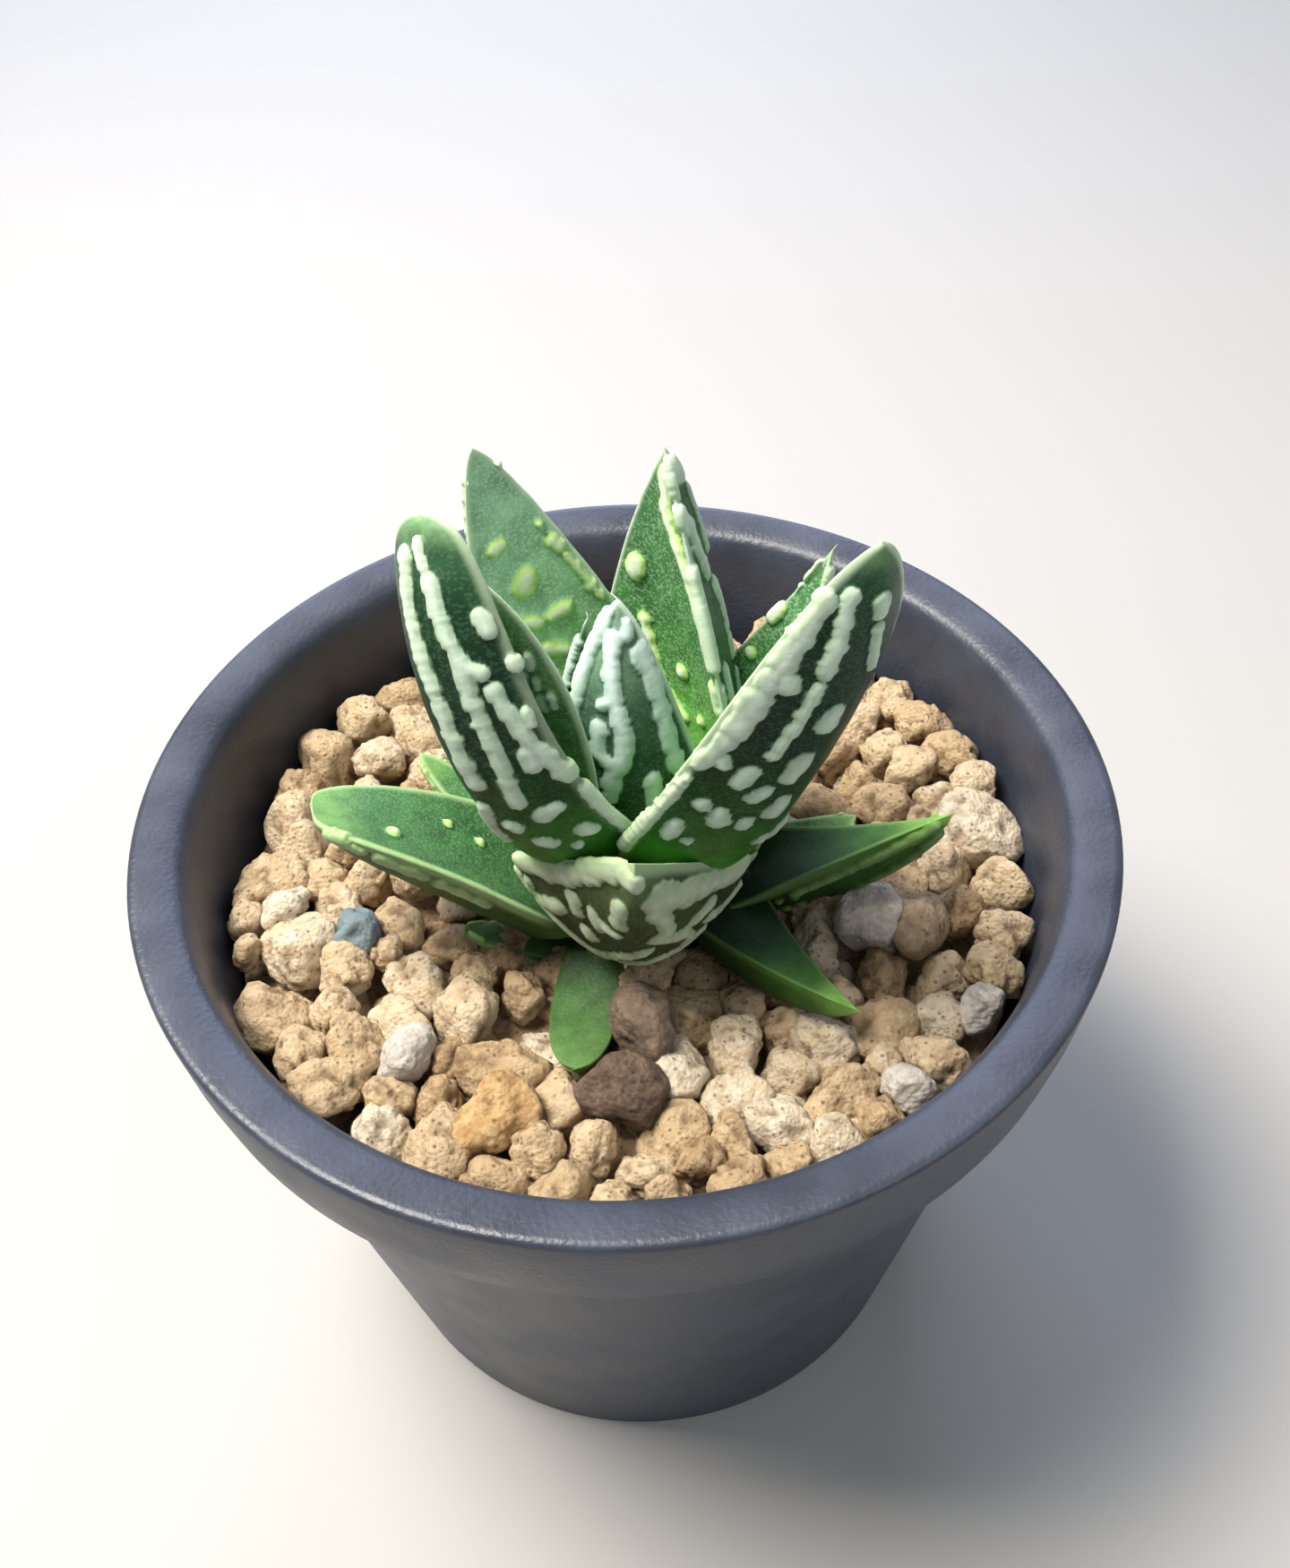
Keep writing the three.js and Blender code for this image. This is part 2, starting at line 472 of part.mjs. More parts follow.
for (let k = 0; k < 9; k++) {
  const angle = (2 * Math.PI * k) / 8;
  const circle = k < 8 ? DrainCircle : 0;
  const hole = rod(DrainHoleRadius, -1, floorTop + 1, 8,
    circle * Math.cos(angle), circle * Math.sin(angle));
  pot = pot.subtract(solidOf(hole));
}

// Odd stones among the granules: place, size, turn and colour of each.
const BedTop = PotHeight - 12;
const Stones = [
  { name: "stone_white_front", at: [-27.1, -27.4], size: [4.8, 2.7, 3], turn: 60, color: 0xcfcac6 },
  { name: "stone_slate", at: [-34.4, -9.2], size: [2.9, 3.4, 3], turn: 20, color: 0x7f949c },
  { name: "stone_grey_angular", at: [29.8, -12.4], size: [4.7, 4.4, 4.2], turn: 30, color: 0xa39b9b },
  { name: "stone_grey_round", at: [35.2, -13.9], size: [5, 5.3, 5], turn: 0, color: 0xb29a7d },
  { name: "stone_pumice", at: [-2.8, -34.6], size: [5.4, 4.4, 4.4], turn: 5, color: 0x8a6f57 },
  { name: "stone_long", at: [0.3, -24.8], size: [3.9, 6, 5], turn: 10, color: 0x9c7d5c },
  { name: "stone_white_right", at: [30.1, -36.8], size: [3.1, 2.4, 3], turn: 130, color: 0xd9d6d2 },
  { name: "stone_white_sliver", at: [40.7, -26.3], size: [3, 2.4, 3], turn: 60, color: 0xd4d2d0 },
  { name: "stone_ochre", at: [-16.8, -37], size: [5.3, 4.6, 4.6], turn: 50, color: 0xc08a4c },
];

function stoneShape(stone, seed, grow) {
  const geometry = mergeVertices(new THREE.IcosahedronGeometry(1, 1).deleteAttribute("uv")
    .deleteAttribute("normal"), 1e-4);
  const spot = geometry.attributes.position;
  const corner = new THREE.Vector3();
  for (let k = 0; k < spot.count; k++) {
    corner.fromBufferAttribute(spot, k).multiplyScalar(0.88 + 0.22 * chance(seed + 40, k));
    spot.setXYZ(k, corner.x, corner.y, corner.z);
  }
  const [a, b, c] = stone.size.map((side) => side + grow);
  geometry.scale(a, b, c).rotateZ(THREE.MathUtils.degToRad(stone.turn));
  return geometry.translate(stone.at[0], stone.at[1], BedTop - 0.6);
}

const stoneSolids = [];
const grownStones = [];
Stones.forEach((stone, seed) => {
  const others = wasm.Manifold.union([allLeaves, ...grownStones]);
  stoneSolids.push(largestBody(solidOf(stoneShape(stone, seed, 0)).subtract(others)));
  grownStones.push(solidOf(stoneShape(stone, seed, Gap)));
});

// Bed: the fill, and granules set out on a sunflower spiral with seeded shifts.
function granule(i, x, y, radius) {
  const geometry = new THREE.IcosahedronGeometry(1, 0);
  geometry.scale(radius * (0.85 + 0.35 * chance(i, 5)), radius * (0.85 + 0.2 * chance(i, 6)),
    radius * (0.8 + 0.2 * chance(i, 7)));
  geometry.rotateX(6 * chance(i, 8)).rotateZ(6 * chance(i, 9));
  const mound = 1.6 * Math.pow(Math.hypot(x, y) / BedRadius, 3);
  const top = BedTop + mound - 1.2 + 2.4 * chance(i, 4);
  return geometry.translate(x, y, top - 0.85 * radius);
}

const fillTop = PotHeight - SoilDrop;
const fillProfile = [
  [0, floorTop + Gap], [FootRadius - WallThickness - Gap, floorTop + Gap],
  [wallAt(30) - WallThickness - Gap, 30], [MouthRadius - 2 - Gap - 0.2, fillTop], [0, fillTop],
];
const bedParts = [solidOf(lathe(fillProfile, 36))];
for (let i = 0; i < GranuleCount; i++) {
  const angle = i * GoldenAngle + 0.5 * (chance(i, 1) - 0.5) / Math.sqrt(i / 20 + 1);
  const r = BedRadius * Math.sqrt((i + 0.5) / GranuleCount) + 1.2 * (chance(i, 2) - 0.5);
  const radius = GranuleRadius * (0.82 + 0.36 * chance(i, 3));
  const away = Math.min(r, MouthRadius - 2.6 - radius * 1.12);
  const x = away * Math.cos(angle);
  const y = away * Math.sin(angle);
  const nearStone = Stones.some(({ at, size }) =>
    Math.hypot(x - at[0], y - at[1]) < 0.5 * Math.max(...size) + 0.45 * radius);
  const underCrown = Math.hypot(x - CrownX, y - CrownY) < 8;
  if (!nearStone && !underCrown) bedParts.push(solidOf(granule(i, x, y, radius)));
}
const stemTop = PotHeight - GroundDrop + 5;
const stemBottom = stemTop - StemLength;
const holes = [allLeaves, ...grownStones,
  solidOf(rod(StemRadius + Gap, stemBottom - Gap, stemTop + 10, 16, CrownX, CrownY))];
const bed = largestBody(wasm.Manifold.union(bedParts).subtract(wasm.Manifold.union(holes)));
const stem = largestBody(
  solidOf(rod(StemRadius, stemBottom, stemTop, 16, CrownX, CrownY)).subtract(allLeaves));

const plant = new THREE.Group();
function add(name, solid, look) {
  const mesh = new THREE.Mesh(geometryOf(solid), new THREE.MeshStandardMaterial(look));
  mesh.name = name;
  plant.add(mesh);
}
add("pot", pot, Plastic);
add("granule_bed", bed, Clay);
add("stem", stem, StemBrown);
Leaves.forEach((leaf, k) => add(leaf.name, leafSolids[k], LeafGreen));
Stones.forEach((stone, k) => add(stone.name, stoneSolids[k],
  { color: stone.color, roughness: 0.9, metalness: 0 }));

export default plant;
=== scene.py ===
import bpy
import numpy as np
from mathutils import Matrix


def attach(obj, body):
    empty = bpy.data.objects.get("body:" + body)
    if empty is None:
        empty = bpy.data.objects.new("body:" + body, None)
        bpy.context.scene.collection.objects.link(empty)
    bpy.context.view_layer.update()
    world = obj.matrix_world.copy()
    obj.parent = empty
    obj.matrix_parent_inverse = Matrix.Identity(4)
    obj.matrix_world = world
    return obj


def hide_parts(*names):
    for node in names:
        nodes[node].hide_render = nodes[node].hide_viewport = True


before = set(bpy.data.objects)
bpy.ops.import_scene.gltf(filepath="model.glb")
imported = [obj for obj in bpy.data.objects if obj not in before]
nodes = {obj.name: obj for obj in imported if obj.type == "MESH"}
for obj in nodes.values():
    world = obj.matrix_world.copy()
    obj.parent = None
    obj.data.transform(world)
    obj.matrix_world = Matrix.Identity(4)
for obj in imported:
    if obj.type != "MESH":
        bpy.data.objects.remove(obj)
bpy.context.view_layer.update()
print("frame loaded:", len(nodes), "nodes")

mm = 0.001
golden = np.pi * (3 - np.sqrt(5))
crown = np.array([1.0, -8.0, 79.0])  # where the leaves meet, in mm
potHeight = 90.0
scene = bpy.context.scene


# shared arithmetic

# 0 below a, 1 above b, and 3q^2 - 2q^3 between them
def smooth(a, b, x):
    q = np.clip((x - a) / (b - a), 0, 1)
    return q * q * (3 - 2 * q)


# hashed corners of unit cells, blended by the smooth step: -1 to 1
def cellNoise(p, seed=0.0):
    cell = np.floor(p)
    part = p - cell
    blend = part * part * (3 - 2 * part)
    total = np.zeros(p.shape[:-1])
    for dx in (0, 1):
        for dy in (0, 1):
            for dz in (0, 1):
                corner = cell + np.array([dx, dy, dz])
                mixed = np.sin(corner @ np.array([127.1, 311.7, 74.7]) + 53.3 * seed) * 43758.5453
                weight = np.abs(1 - dx - blend[..., 0]) * np.abs(1 - dy - blend[..., 1])
                weight = weight * np.abs(1 - dz - blend[..., 2])
                total += (mixed - np.floor(mixed)) * weight
    return 2 * total - 1


# sum of cell noises, each of half the size and half the height of the last
def layeredNoise(p, layers=3, seed=0.0):
    total = np.zeros(p.shape[:-1])
    for k in range(layers):
        total += cellNoise(p * 2.0 ** k + 7.7 * k, seed + k) * 0.5 ** k
    return total


# vectors scaled to length 1
def unit(v):
    return v / np.maximum(np.linalg.norm(v, axis=-1, keepdims=True), 1e-12)


# value at t between a pair's at 0 and at 1
def between(pair, t):
    return pair[0] + (pair[1] - pair[0]) * t


# meshes from arrays

# an object of the data, linked to the scene
def addObject(name, data):
    thing = bpy.data.objects.new(name, data)
    scene.collection.objects.link(thing)
    return thing


# points in mm (n, 3); faces are arrays of equal-sided polygons; values are one number or one
# vector a point
def makePiece(name, points, faces, values, material, replaced):
    signed = 0.0
    for sides in faces:
        for k in range(1, sides.shape[1] - 1):
            a, b, c = points[sides[:, 0]], points[sides[:, k]], points[sides[:, k + 1]]
            signed += np.einsum("ij,ij->i", a, np.cross(b, c)).sum()
    if signed < 0:
        faces = [sides[:, ::-1] for sides in faces]
    mesh = bpy.data.meshes.new(name)
    loops = np.concatenate([sides.ravel() for sides in faces]).astype(np.int32)
    sizes = np.concatenate([np.full(len(sides), sides.shape[1]) for sides in faces])
    starts = np.concatenate([[0], np.cumsum(sizes)[:-1]]).astype(np.int32)
    mesh.vertices.add(len(points))
    mesh.vertices.foreach_set("co", (points * mm).astype(np.float32).ravel())
    mesh.loops.add(len(loops))
    mesh.loops.foreach_set("vertex_index", loops)
    mesh.polygons.add(len(starts))
    mesh.polygons.foreach_set("loop_start", starts)
    mesh.update(calc_edges=True)
    mesh.validate()
    mesh.polygons.foreach_set("use_smooth", np.ones(len(mesh.polygons), dtype=bool))
    for key, array in values.items():
        array = np.asarray(array, dtype=np.float32)
        kind, field = ("FLOAT", "value") if array.ndim == 1 else ("FLOAT_VECTOR", "vector")
        mesh.attributes.new(key, kind, "POINT").data.foreach_set(field, array.ravel())
    mesh.materials.append(material)
    piece = addObject(name, mesh)
    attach(piece, "root")
    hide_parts(replaced)
    return piece


# quads of a grid of n rings with m points each, closed around, and fans to a point at each end
def tubeFaces(n, m):
    i, j = np.meshgrid(np.arange(n - 1), np.arange(m), indexing="ij")
    k = (j + 1) % m
    quads = np.stack([i * m + j, i * m + k, (i + 1) * m + k, (i + 1) * m + j], axis=-1)
    around = np.arange(m)
    after = (around + 1) % m
    first = np.stack([np.full(m, n * m), after, around], axis=-1)
    last = np.stack([np.full(m, n * m + 1), (n - 1) * m + around, (n - 1) * m + after], axis=-1)
    return [quads.reshape(-1, 4), np.concatenate([first, last])]


# profile of (radius, height) carried round the axis; it starts and ends near the axis
def lathePoints(profile, sides):
    profile = np.asarray(profile, dtype=float)
    angle = 2 * np.pi * np.arange(sides) / sides
    ring = np.stack([np.cos(angle), np.sin(angle)], axis=-1)
    flat = profile[:, None, :1] * ring[None]
    height = np.repeat(profile[:, 1][:, None], sides, axis=1)[..., None]
    body = np.concatenate([flat, height], axis=-1).reshape(-1, 3)
    ends = np.array([[0, 0, profile[0, 1]], [0, 0, profile[-1, 1]]])
    return np.concatenate([body, ends])


# points spaced about step mm apart along a polyline, with its corners kept
def refineProfile(profile, step):
    out = [profile[0]]
    for a, b in zip(profile[:-1], profile[1:]):
        a, b = np.array(a, float), np.array(b, float)
        count = max(1, int(np.ceil(np.linalg.norm(b - a) / step)))
        out += [tuple(a + (b - a) * k / count) for k in range(1, count + 1)]
    return out


# unit sphere as an icosahedron split in four, level times
def roundMesh(level):
    g = (1 + 5 ** 0.5) / 2
    v = [(-1, g, 0), (1, g, 0), (-1, -g, 0), (1, -g, 0), (0, -1, g), (0, 1, g),
         (0, -1, -g), (0, 1, -g), (g, 0, -1), (g, 0, 1), (-g, 0, -1), (-g, 0, 1)]
    f = [(0, 11, 5), (0, 5, 1), (0, 1, 7), (0, 7, 10), (0, 10, 11), (1, 5, 9), (5, 11, 4),
         (11, 10, 2), (10, 7, 6), (7, 1, 8), (3, 9, 4), (3, 4, 2), (3, 2, 6), (3, 6, 8),
         (3, 8, 9), (4, 9, 5), (2, 4, 11), (6, 2, 10), (8, 6, 7), (9, 8, 1)]
    verts, tris = unit(np.array(v, float)), np.array(f)
    for _ in range(level):
        edges = np.sort(np.concatenate([tris[:, [0, 1]], tris[:, [1, 2]], tris[:, [2, 0]]]), axis=1)
        pairs, place = np.unique(edges, axis=0, return_inverse=True)
        place = place.ravel() + len(verts)
        verts = np.concatenate([verts, unit(verts[pairs].mean(axis=1))])
        n = len(tris)
        ab, bc, ca = place[:n], place[n:2 * n], place[2 * n:]
        a, b, c = tris.T
        tris = np.concatenate([np.stack(part, axis=-1) for part in
                               ((a, ab, ca), (b, bc, ab), (c, ca, bc), (ab, bc, ca))])
    return verts, tris


# materials

# sRGB hex to linear: c / 12.92 below 0.04045, else ((c + 0.055) / 1.055) ^ 2.4
def colour(text):
    c = np.array([int(text[k:k + 2], 16) / 255 for k in (1, 3, 5)])
    linear = np.where(c < 0.04045, c / 12.92, ((c + 0.055) / 1.055) ** 2.4)
    return (*map(float, linear), 1.0)


# links sources into a node's sockets; a node as a source stands for its main output, which is
# the third of a mix or an attribute and the first of any other
def wire(tree, node, links):
    for key, source in links.items():
        if isinstance(source, bpy.types.Node):
            source = source.outputs[2 if source.type in ("MIX", "ATTRIBUTE") else 0]
        tree.links.new(source, node.inputs[key])


# adds one node: its properties, the values of its sockets, links into it, and a ramp's stops
def addNode(tree, kind, settings={}, values={}, links={}, stops=()):
    node = tree.nodes.new("ShaderNode" + kind)
    for key, value in settings.items():
        setattr(node, key, value)
    for key, value in values.items():
        node.inputs[key].default_value = value
    wire(tree, node, links)
    while stops and len(node.color_ramp.elements) < len(stops):
        node.color_ramp.elements.new(0.5)
    for element, (position, text) in zip(node.color_ramp.elements if stops else (), stops):
        element.position = position
        element.color = colour(text)
    return node


# an empty material with its surface shader, whose plain numbers sit on its own sockets, and the
# link that gives a texture the place on the object
def startMaterial(name, shader):
    material = bpy.data.materials.new(name)
    material.use_nodes = True
    tree = material.node_tree
    tree.nodes.clear()
    surface = addNode(tree, "BsdfPrincipled", values=shader)
    addNode(tree, "OutputMaterial", links={"Surface": surface})
    place = {"Vector": addNode(tree, "TexCoord").outputs["Object"]}
    return material, tree, surface, place


# settings of mix nodes: of two colours, and of one colour multiplied by another
inColour = {"data_type": "RGBA"}
multiplied = {"data_type": "RGBA", "blend_type": "MULTIPLY"}


# Succulent leaf: waxy skin over wet green tissue, so a soft broad gloss, a little light let in
# and a fine-grained surface. Marks are raised pale warts, smoother and duller than the skin.
def leafMaterial(name, look):
    material, tree, surface, place = startMaterial(name, {
        "IOR": 1.4, "Specular IOR Level": look["shine"], "Subsurface Weight": 0.1,
        "Subsurface Scale": 0.0012, "Subsurface Radius": (0.5, 1.0, 0.35)})
    wart, inner, along, edge = (addNode(tree, "Attribute", {"attribute_name": key})
                                for key in ("mark", "inner", "along", "edge"))
    keeled = addNode(tree, "ValToRGB", links={"Fac": along}, stops=look["keeled"])
    hollow = addNode(tree, "ValToRGB", links={"Fac": along}, stops=look["hollow"])
    body = addNode(tree, "Mix", inColour, links={0: inner, 6: keeled, 7: hollow})
    # blotches of about 3 mm, and flecks 0.45 mm apart across the leaf and 0.3 mm along it
    blotch = addNode(tree, "TexNoise", values={"Scale": 330, "Detail": 3}, links=place)
    shade = addNode(tree, "MapRange", links={"Value": blotch}, values={
        "From Min": 0.3, "From Max": 0.7, "To Min": 0.72, "To Max": 1.25})
    blotched = addNode(tree, "Mix", multiplied, {0: 1.0}, {6: body, 7: shade})
    span = addNode(tree, "Attribute", {"attribute_name": "span"}).outputs["Vector"]
    spread = addNode(tree, "Mapping", values={"Scale": (1 / 0.45, 1 / 0.3, 0)},
                     links={"Vector": span})
    fleck = addNode(tree, "TexVoronoi", values={"Scale": 1}, links={"Vector": spread})
    speck = addNode(tree, "MapRange", values={"From Min": 0.55, "From Max": 0.2},
                    links={"Value": fleck})
    onFace = addNode(tree, "MapRange", links={"Value": inner}, values={
        "To Min": look["flecks"][0], "To Max": look["flecks"][1]})
    flecked = addNode(tree, "Math", {"operation": "MULTIPLY"}, links={0: speck, 1: onFace})
    stippled = addNode(tree, "Mix", inColour, {7: colour(look["fleck"])},
                       {0: flecked, 6: blotched})
    # pale marks: cooler on the keeled face, with a lime foot on the hollow one
    coolMark = addNode(tree, "ValToRGB", links={"Fac": wart}, stops=look["keeledMark"])
    limeMark = addNode(tree, "ValToRGB", links={"Fac": wart}, stops=look["hollowMark"])
    mark = addNode(tree, "Mix", inColour, links={0: inner, 6: coolMark, 7: limeMark})
    grain = addNode(tree, "TexNoise", values={"Scale": 900, "Detail": 4}, links=place)
    grainShade = addNode(tree, "MapRange", links={"Value": grain}, values={
        "From Min": 0.3, "From Max": 0.7, "To Min": 0.88, "To Max": 1.08})
    grainy = addNode(tree, "Mix", multiplied, {0: 1.0}, {6: mark, 7: grainShade})
    cover = addNode(tree, "MapRange", {"interpolation_type": "SMOOTHSTEP"},
                    {"From Min": 0.02, "From Max": 0.16}, {"Value": wart})
    marked = addNode(tree, "Mix", inColour, links={0: cover, 6: stippled, 7: grainy})
    rimmed = addNode(tree, "Mix", inColour, {7: colour(look["rim"])}, {0: edge, 6: marked})
    gloss = addNode(tree, "MapRange", links={"Value": cover}, values={
        "To Min": look["roughness"], "To Max": 0.55})
    relief = addNode(tree, "TexNoise", values={"Scale": 2600, "Detail": 3}, links=place)
    bump = addNode(tree, "Bump", values={"Strength": 0.35, "Distance": 0.0001},
                   links={"Height": relief})
    wire(tree, surface, {"Base Color": rimmed, "Roughness": gloss, "Normal": bump})
    return material


# Baked clay or broken stone: dry, full of pores and matte, mottled; its dents and its pores are
# darkened with painted shade.
def stoneMaterial(look):
    material, tree, surface, place = startMaterial(look["name"], {"IOR": 1.5, "Roughness": 0.92})
    tone, pitShade = (addNode(tree, "Attribute", {"attribute_name": key}) for key in ("tone", "pitShade"))
    speckle = addNode(tree, "TexNoise", links=place, values={
        "Scale": look["mottle"], "Detail": 5, "Roughness": 0.65})
    spread = addNode(tree, "MapRange", links={"Value": speckle}, values={
        "From Min": 0.3, "From Max": 0.7, "To Min": -look["spread"], "To Max": look["spread"]})
    blended = addNode(tree, "Math", {"operation": "ADD", "use_clamp": True},
                      links={0: tone, 1: spread})
    base = addNode(tree, "ValToRGB", links={"Fac": blended}, stops=look["stops"])
    # painted shade: a dark colour is mixed in where the surface is dented, then dark spots are
    # added for the pores
    pitShaded = addNode(tree, "Mix", inColour, {7: colour(look["pitShade"])}, {0: pitShade, 6: base})
    pore = addNode(tree, "TexVoronoi", values={"Scale": look["pores"]}, links=place)
    poreShadeMask = addNode(tree, "MapRange", links={"Value": pore}, values={
        "From Min": 0.28, "From Max": 0.1, "To Max": look["poreShade"]})
    poreShaded = addNode(tree, "Mix", inColour, {7: colour(look["pitShade"])}, {0: poreShadeMask, 6: pitShaded})
    grain = addNode(tree, "TexNoise", links=place, values={
        "Scale": look["grain"], "Detail": 8, "Roughness": 0.75})
    crumb = addNode(tree, "TexVoronoi", values={"Scale": 1.6 * look["grain"]}, links=place)
    uneven = addNode(tree, "Math", {"operation": "MULTIPLY_ADD"}, {1: -0.45}, {0: crumb, 2: grain})
    bump = addNode(tree, "Bump", values={"Strength": look["bump"], "Distance": 0.0008},
                   links={"Height": uneven})
    wire(tree, surface, {"Base Color": poreShaded, "Normal": bump})
    return material


# Moulded polypropylene, charcoal black: satin, with an eggshell grain of about 0.6 mm.
def plasticMaterial(look):
    material, tree, surface, place = startMaterial(look["name"], {"IOR": 1.49})
    cloud = addNode(tree, "TexNoise", values={"Scale": 90, "Detail": 4}, links=place)
    base = addNode(tree, "ValToRGB", links={"Fac": cloud}, stops=look["stops"])
    gloss = addNode(tree, "MapRange", links={"Value": cloud}, values={
        "From Min": 0.3, "From Max": 0.7, "To Min": 0.34, "To Max": 0.5})
    grain = addNode(tree, "TexNoise", values={"Scale": 1500, "Detail": 2}, links=place)
    bump = addNode(tree, "Bump", values={"Strength": 0.5, "Distance": 0.00018},
                   links={"Height": grain})
    wire(tree, surface, {"Base Color": base, "Roughness": gloss, "Normal": bump})
    return material


# camera, floor and lights

# place in mm; pan, tilt and roll in degrees; focal length and frame height in pixels; sensor in mm
view = {"place": (0, -128.4, 226.2), "pan": 1.25, "tilt": 46.37, "roll": -2.46,
        "focal": 1700, "frameHeight": 1750, "sensor": 36}
pan, tilt, roll = (np.radians(view[key]) for key in ("pan", "tilt", "roll"))
ahead = np.array([np.sin(pan) * np.cos(tilt), np.cos(pan) * np.cos(tilt), -np.sin(tilt)])
level = np.array([np.cos(pan), -np.sin(pan), 0])
upward = np.cross(level, ahead)
right = level * np.cos(roll) + upward * np.sin(roll)
top = -level * np.sin(roll) + upward * np.cos(roll)
cameraData = bpy.data.cameras.new("camera")
cameraData.sensor_width = view["sensor"]
cameraData.lens = view["focal"] * view["sensor"] / view["frameHeight"]
cameraData.clip_start = 0.01
camera = addObject("camera", cameraData)
turn = Matrix(np.array([right, top, -ahead]).T.tolist()).to_4x4()
camera.matrix_world = Matrix.Translation([c * mm for c in view["place"]]) @ turn
scene.camera = camera
scene.view_settings.view_transform = "Standard"

floorMaterial = startMaterial("paleCard", {"Roughness": 0.8, "Base Color": colour("#aeaca8")})[0]
floorMesh = bpy.data.meshes.new("floor")
floorMesh.from_pydata([(-2, -2, 0), (2, -2, 0), (2, 2, 0), (-2, 2, 0)], [], [(0, 1, 2, 3)])
floorMesh.materials.append(floorMaterial)
floor = addObject("floor", floorMesh)

world = bpy.data.worlds.new("studio")
world.use_nodes = True
sky = world.node_tree.nodes["Background"]
sky.inputs["Color"].default_value = colour("#e4eaf3")
sky.inputs["Strength"].default_value = 0.32
scene.world = world

# place and side of each square light in metres
softboxes = [
    dict(name="keyLight", place=(-0.3, 0.06, 0.75), size=0.34, watts=13.5, tint="#fff9f0"),
    dict(name="fillLight", place=(0.5, -0.45, 0.6), size=0.6, watts=1.6, tint="#eef3ff"),
    dict(name="backLight", place=(-0.05, 0.8, 0.45), size=0.7, watts=6, tint="#cfddff"),
]
for box in softboxes:
    data = bpy.data.lights.new(box["name"], "AREA")
    data.size = box["size"]
    data.energy = box["watts"]
    data.color = colour(box["tint"])[:3]
    lamp = addObject(box["name"], data)
    lamp.location = box["place"]
    aim = Matrix.Translation((0, 0, 0.08)).translation - lamp.location
    lamp.rotation_euler = aim.to_track_quat("-Z", "Y").to_euler()
print("camera, floor and lights placed")

# leaves

# azimuth: degrees from +X; tip and root: mm from the crown along the azimuth, across it and up;
# bow and swing: how far the midline bends outwards and sideways; taper: powers of the outline;
# groove: depth of the hollow face over the half width, at root and tip; roll: degrees there
# foot: share of the width at the root, and the length over which it grows to the whole
fullRoot, pinchedRoot = (0.9, 0.3), (0.5, 0.28)
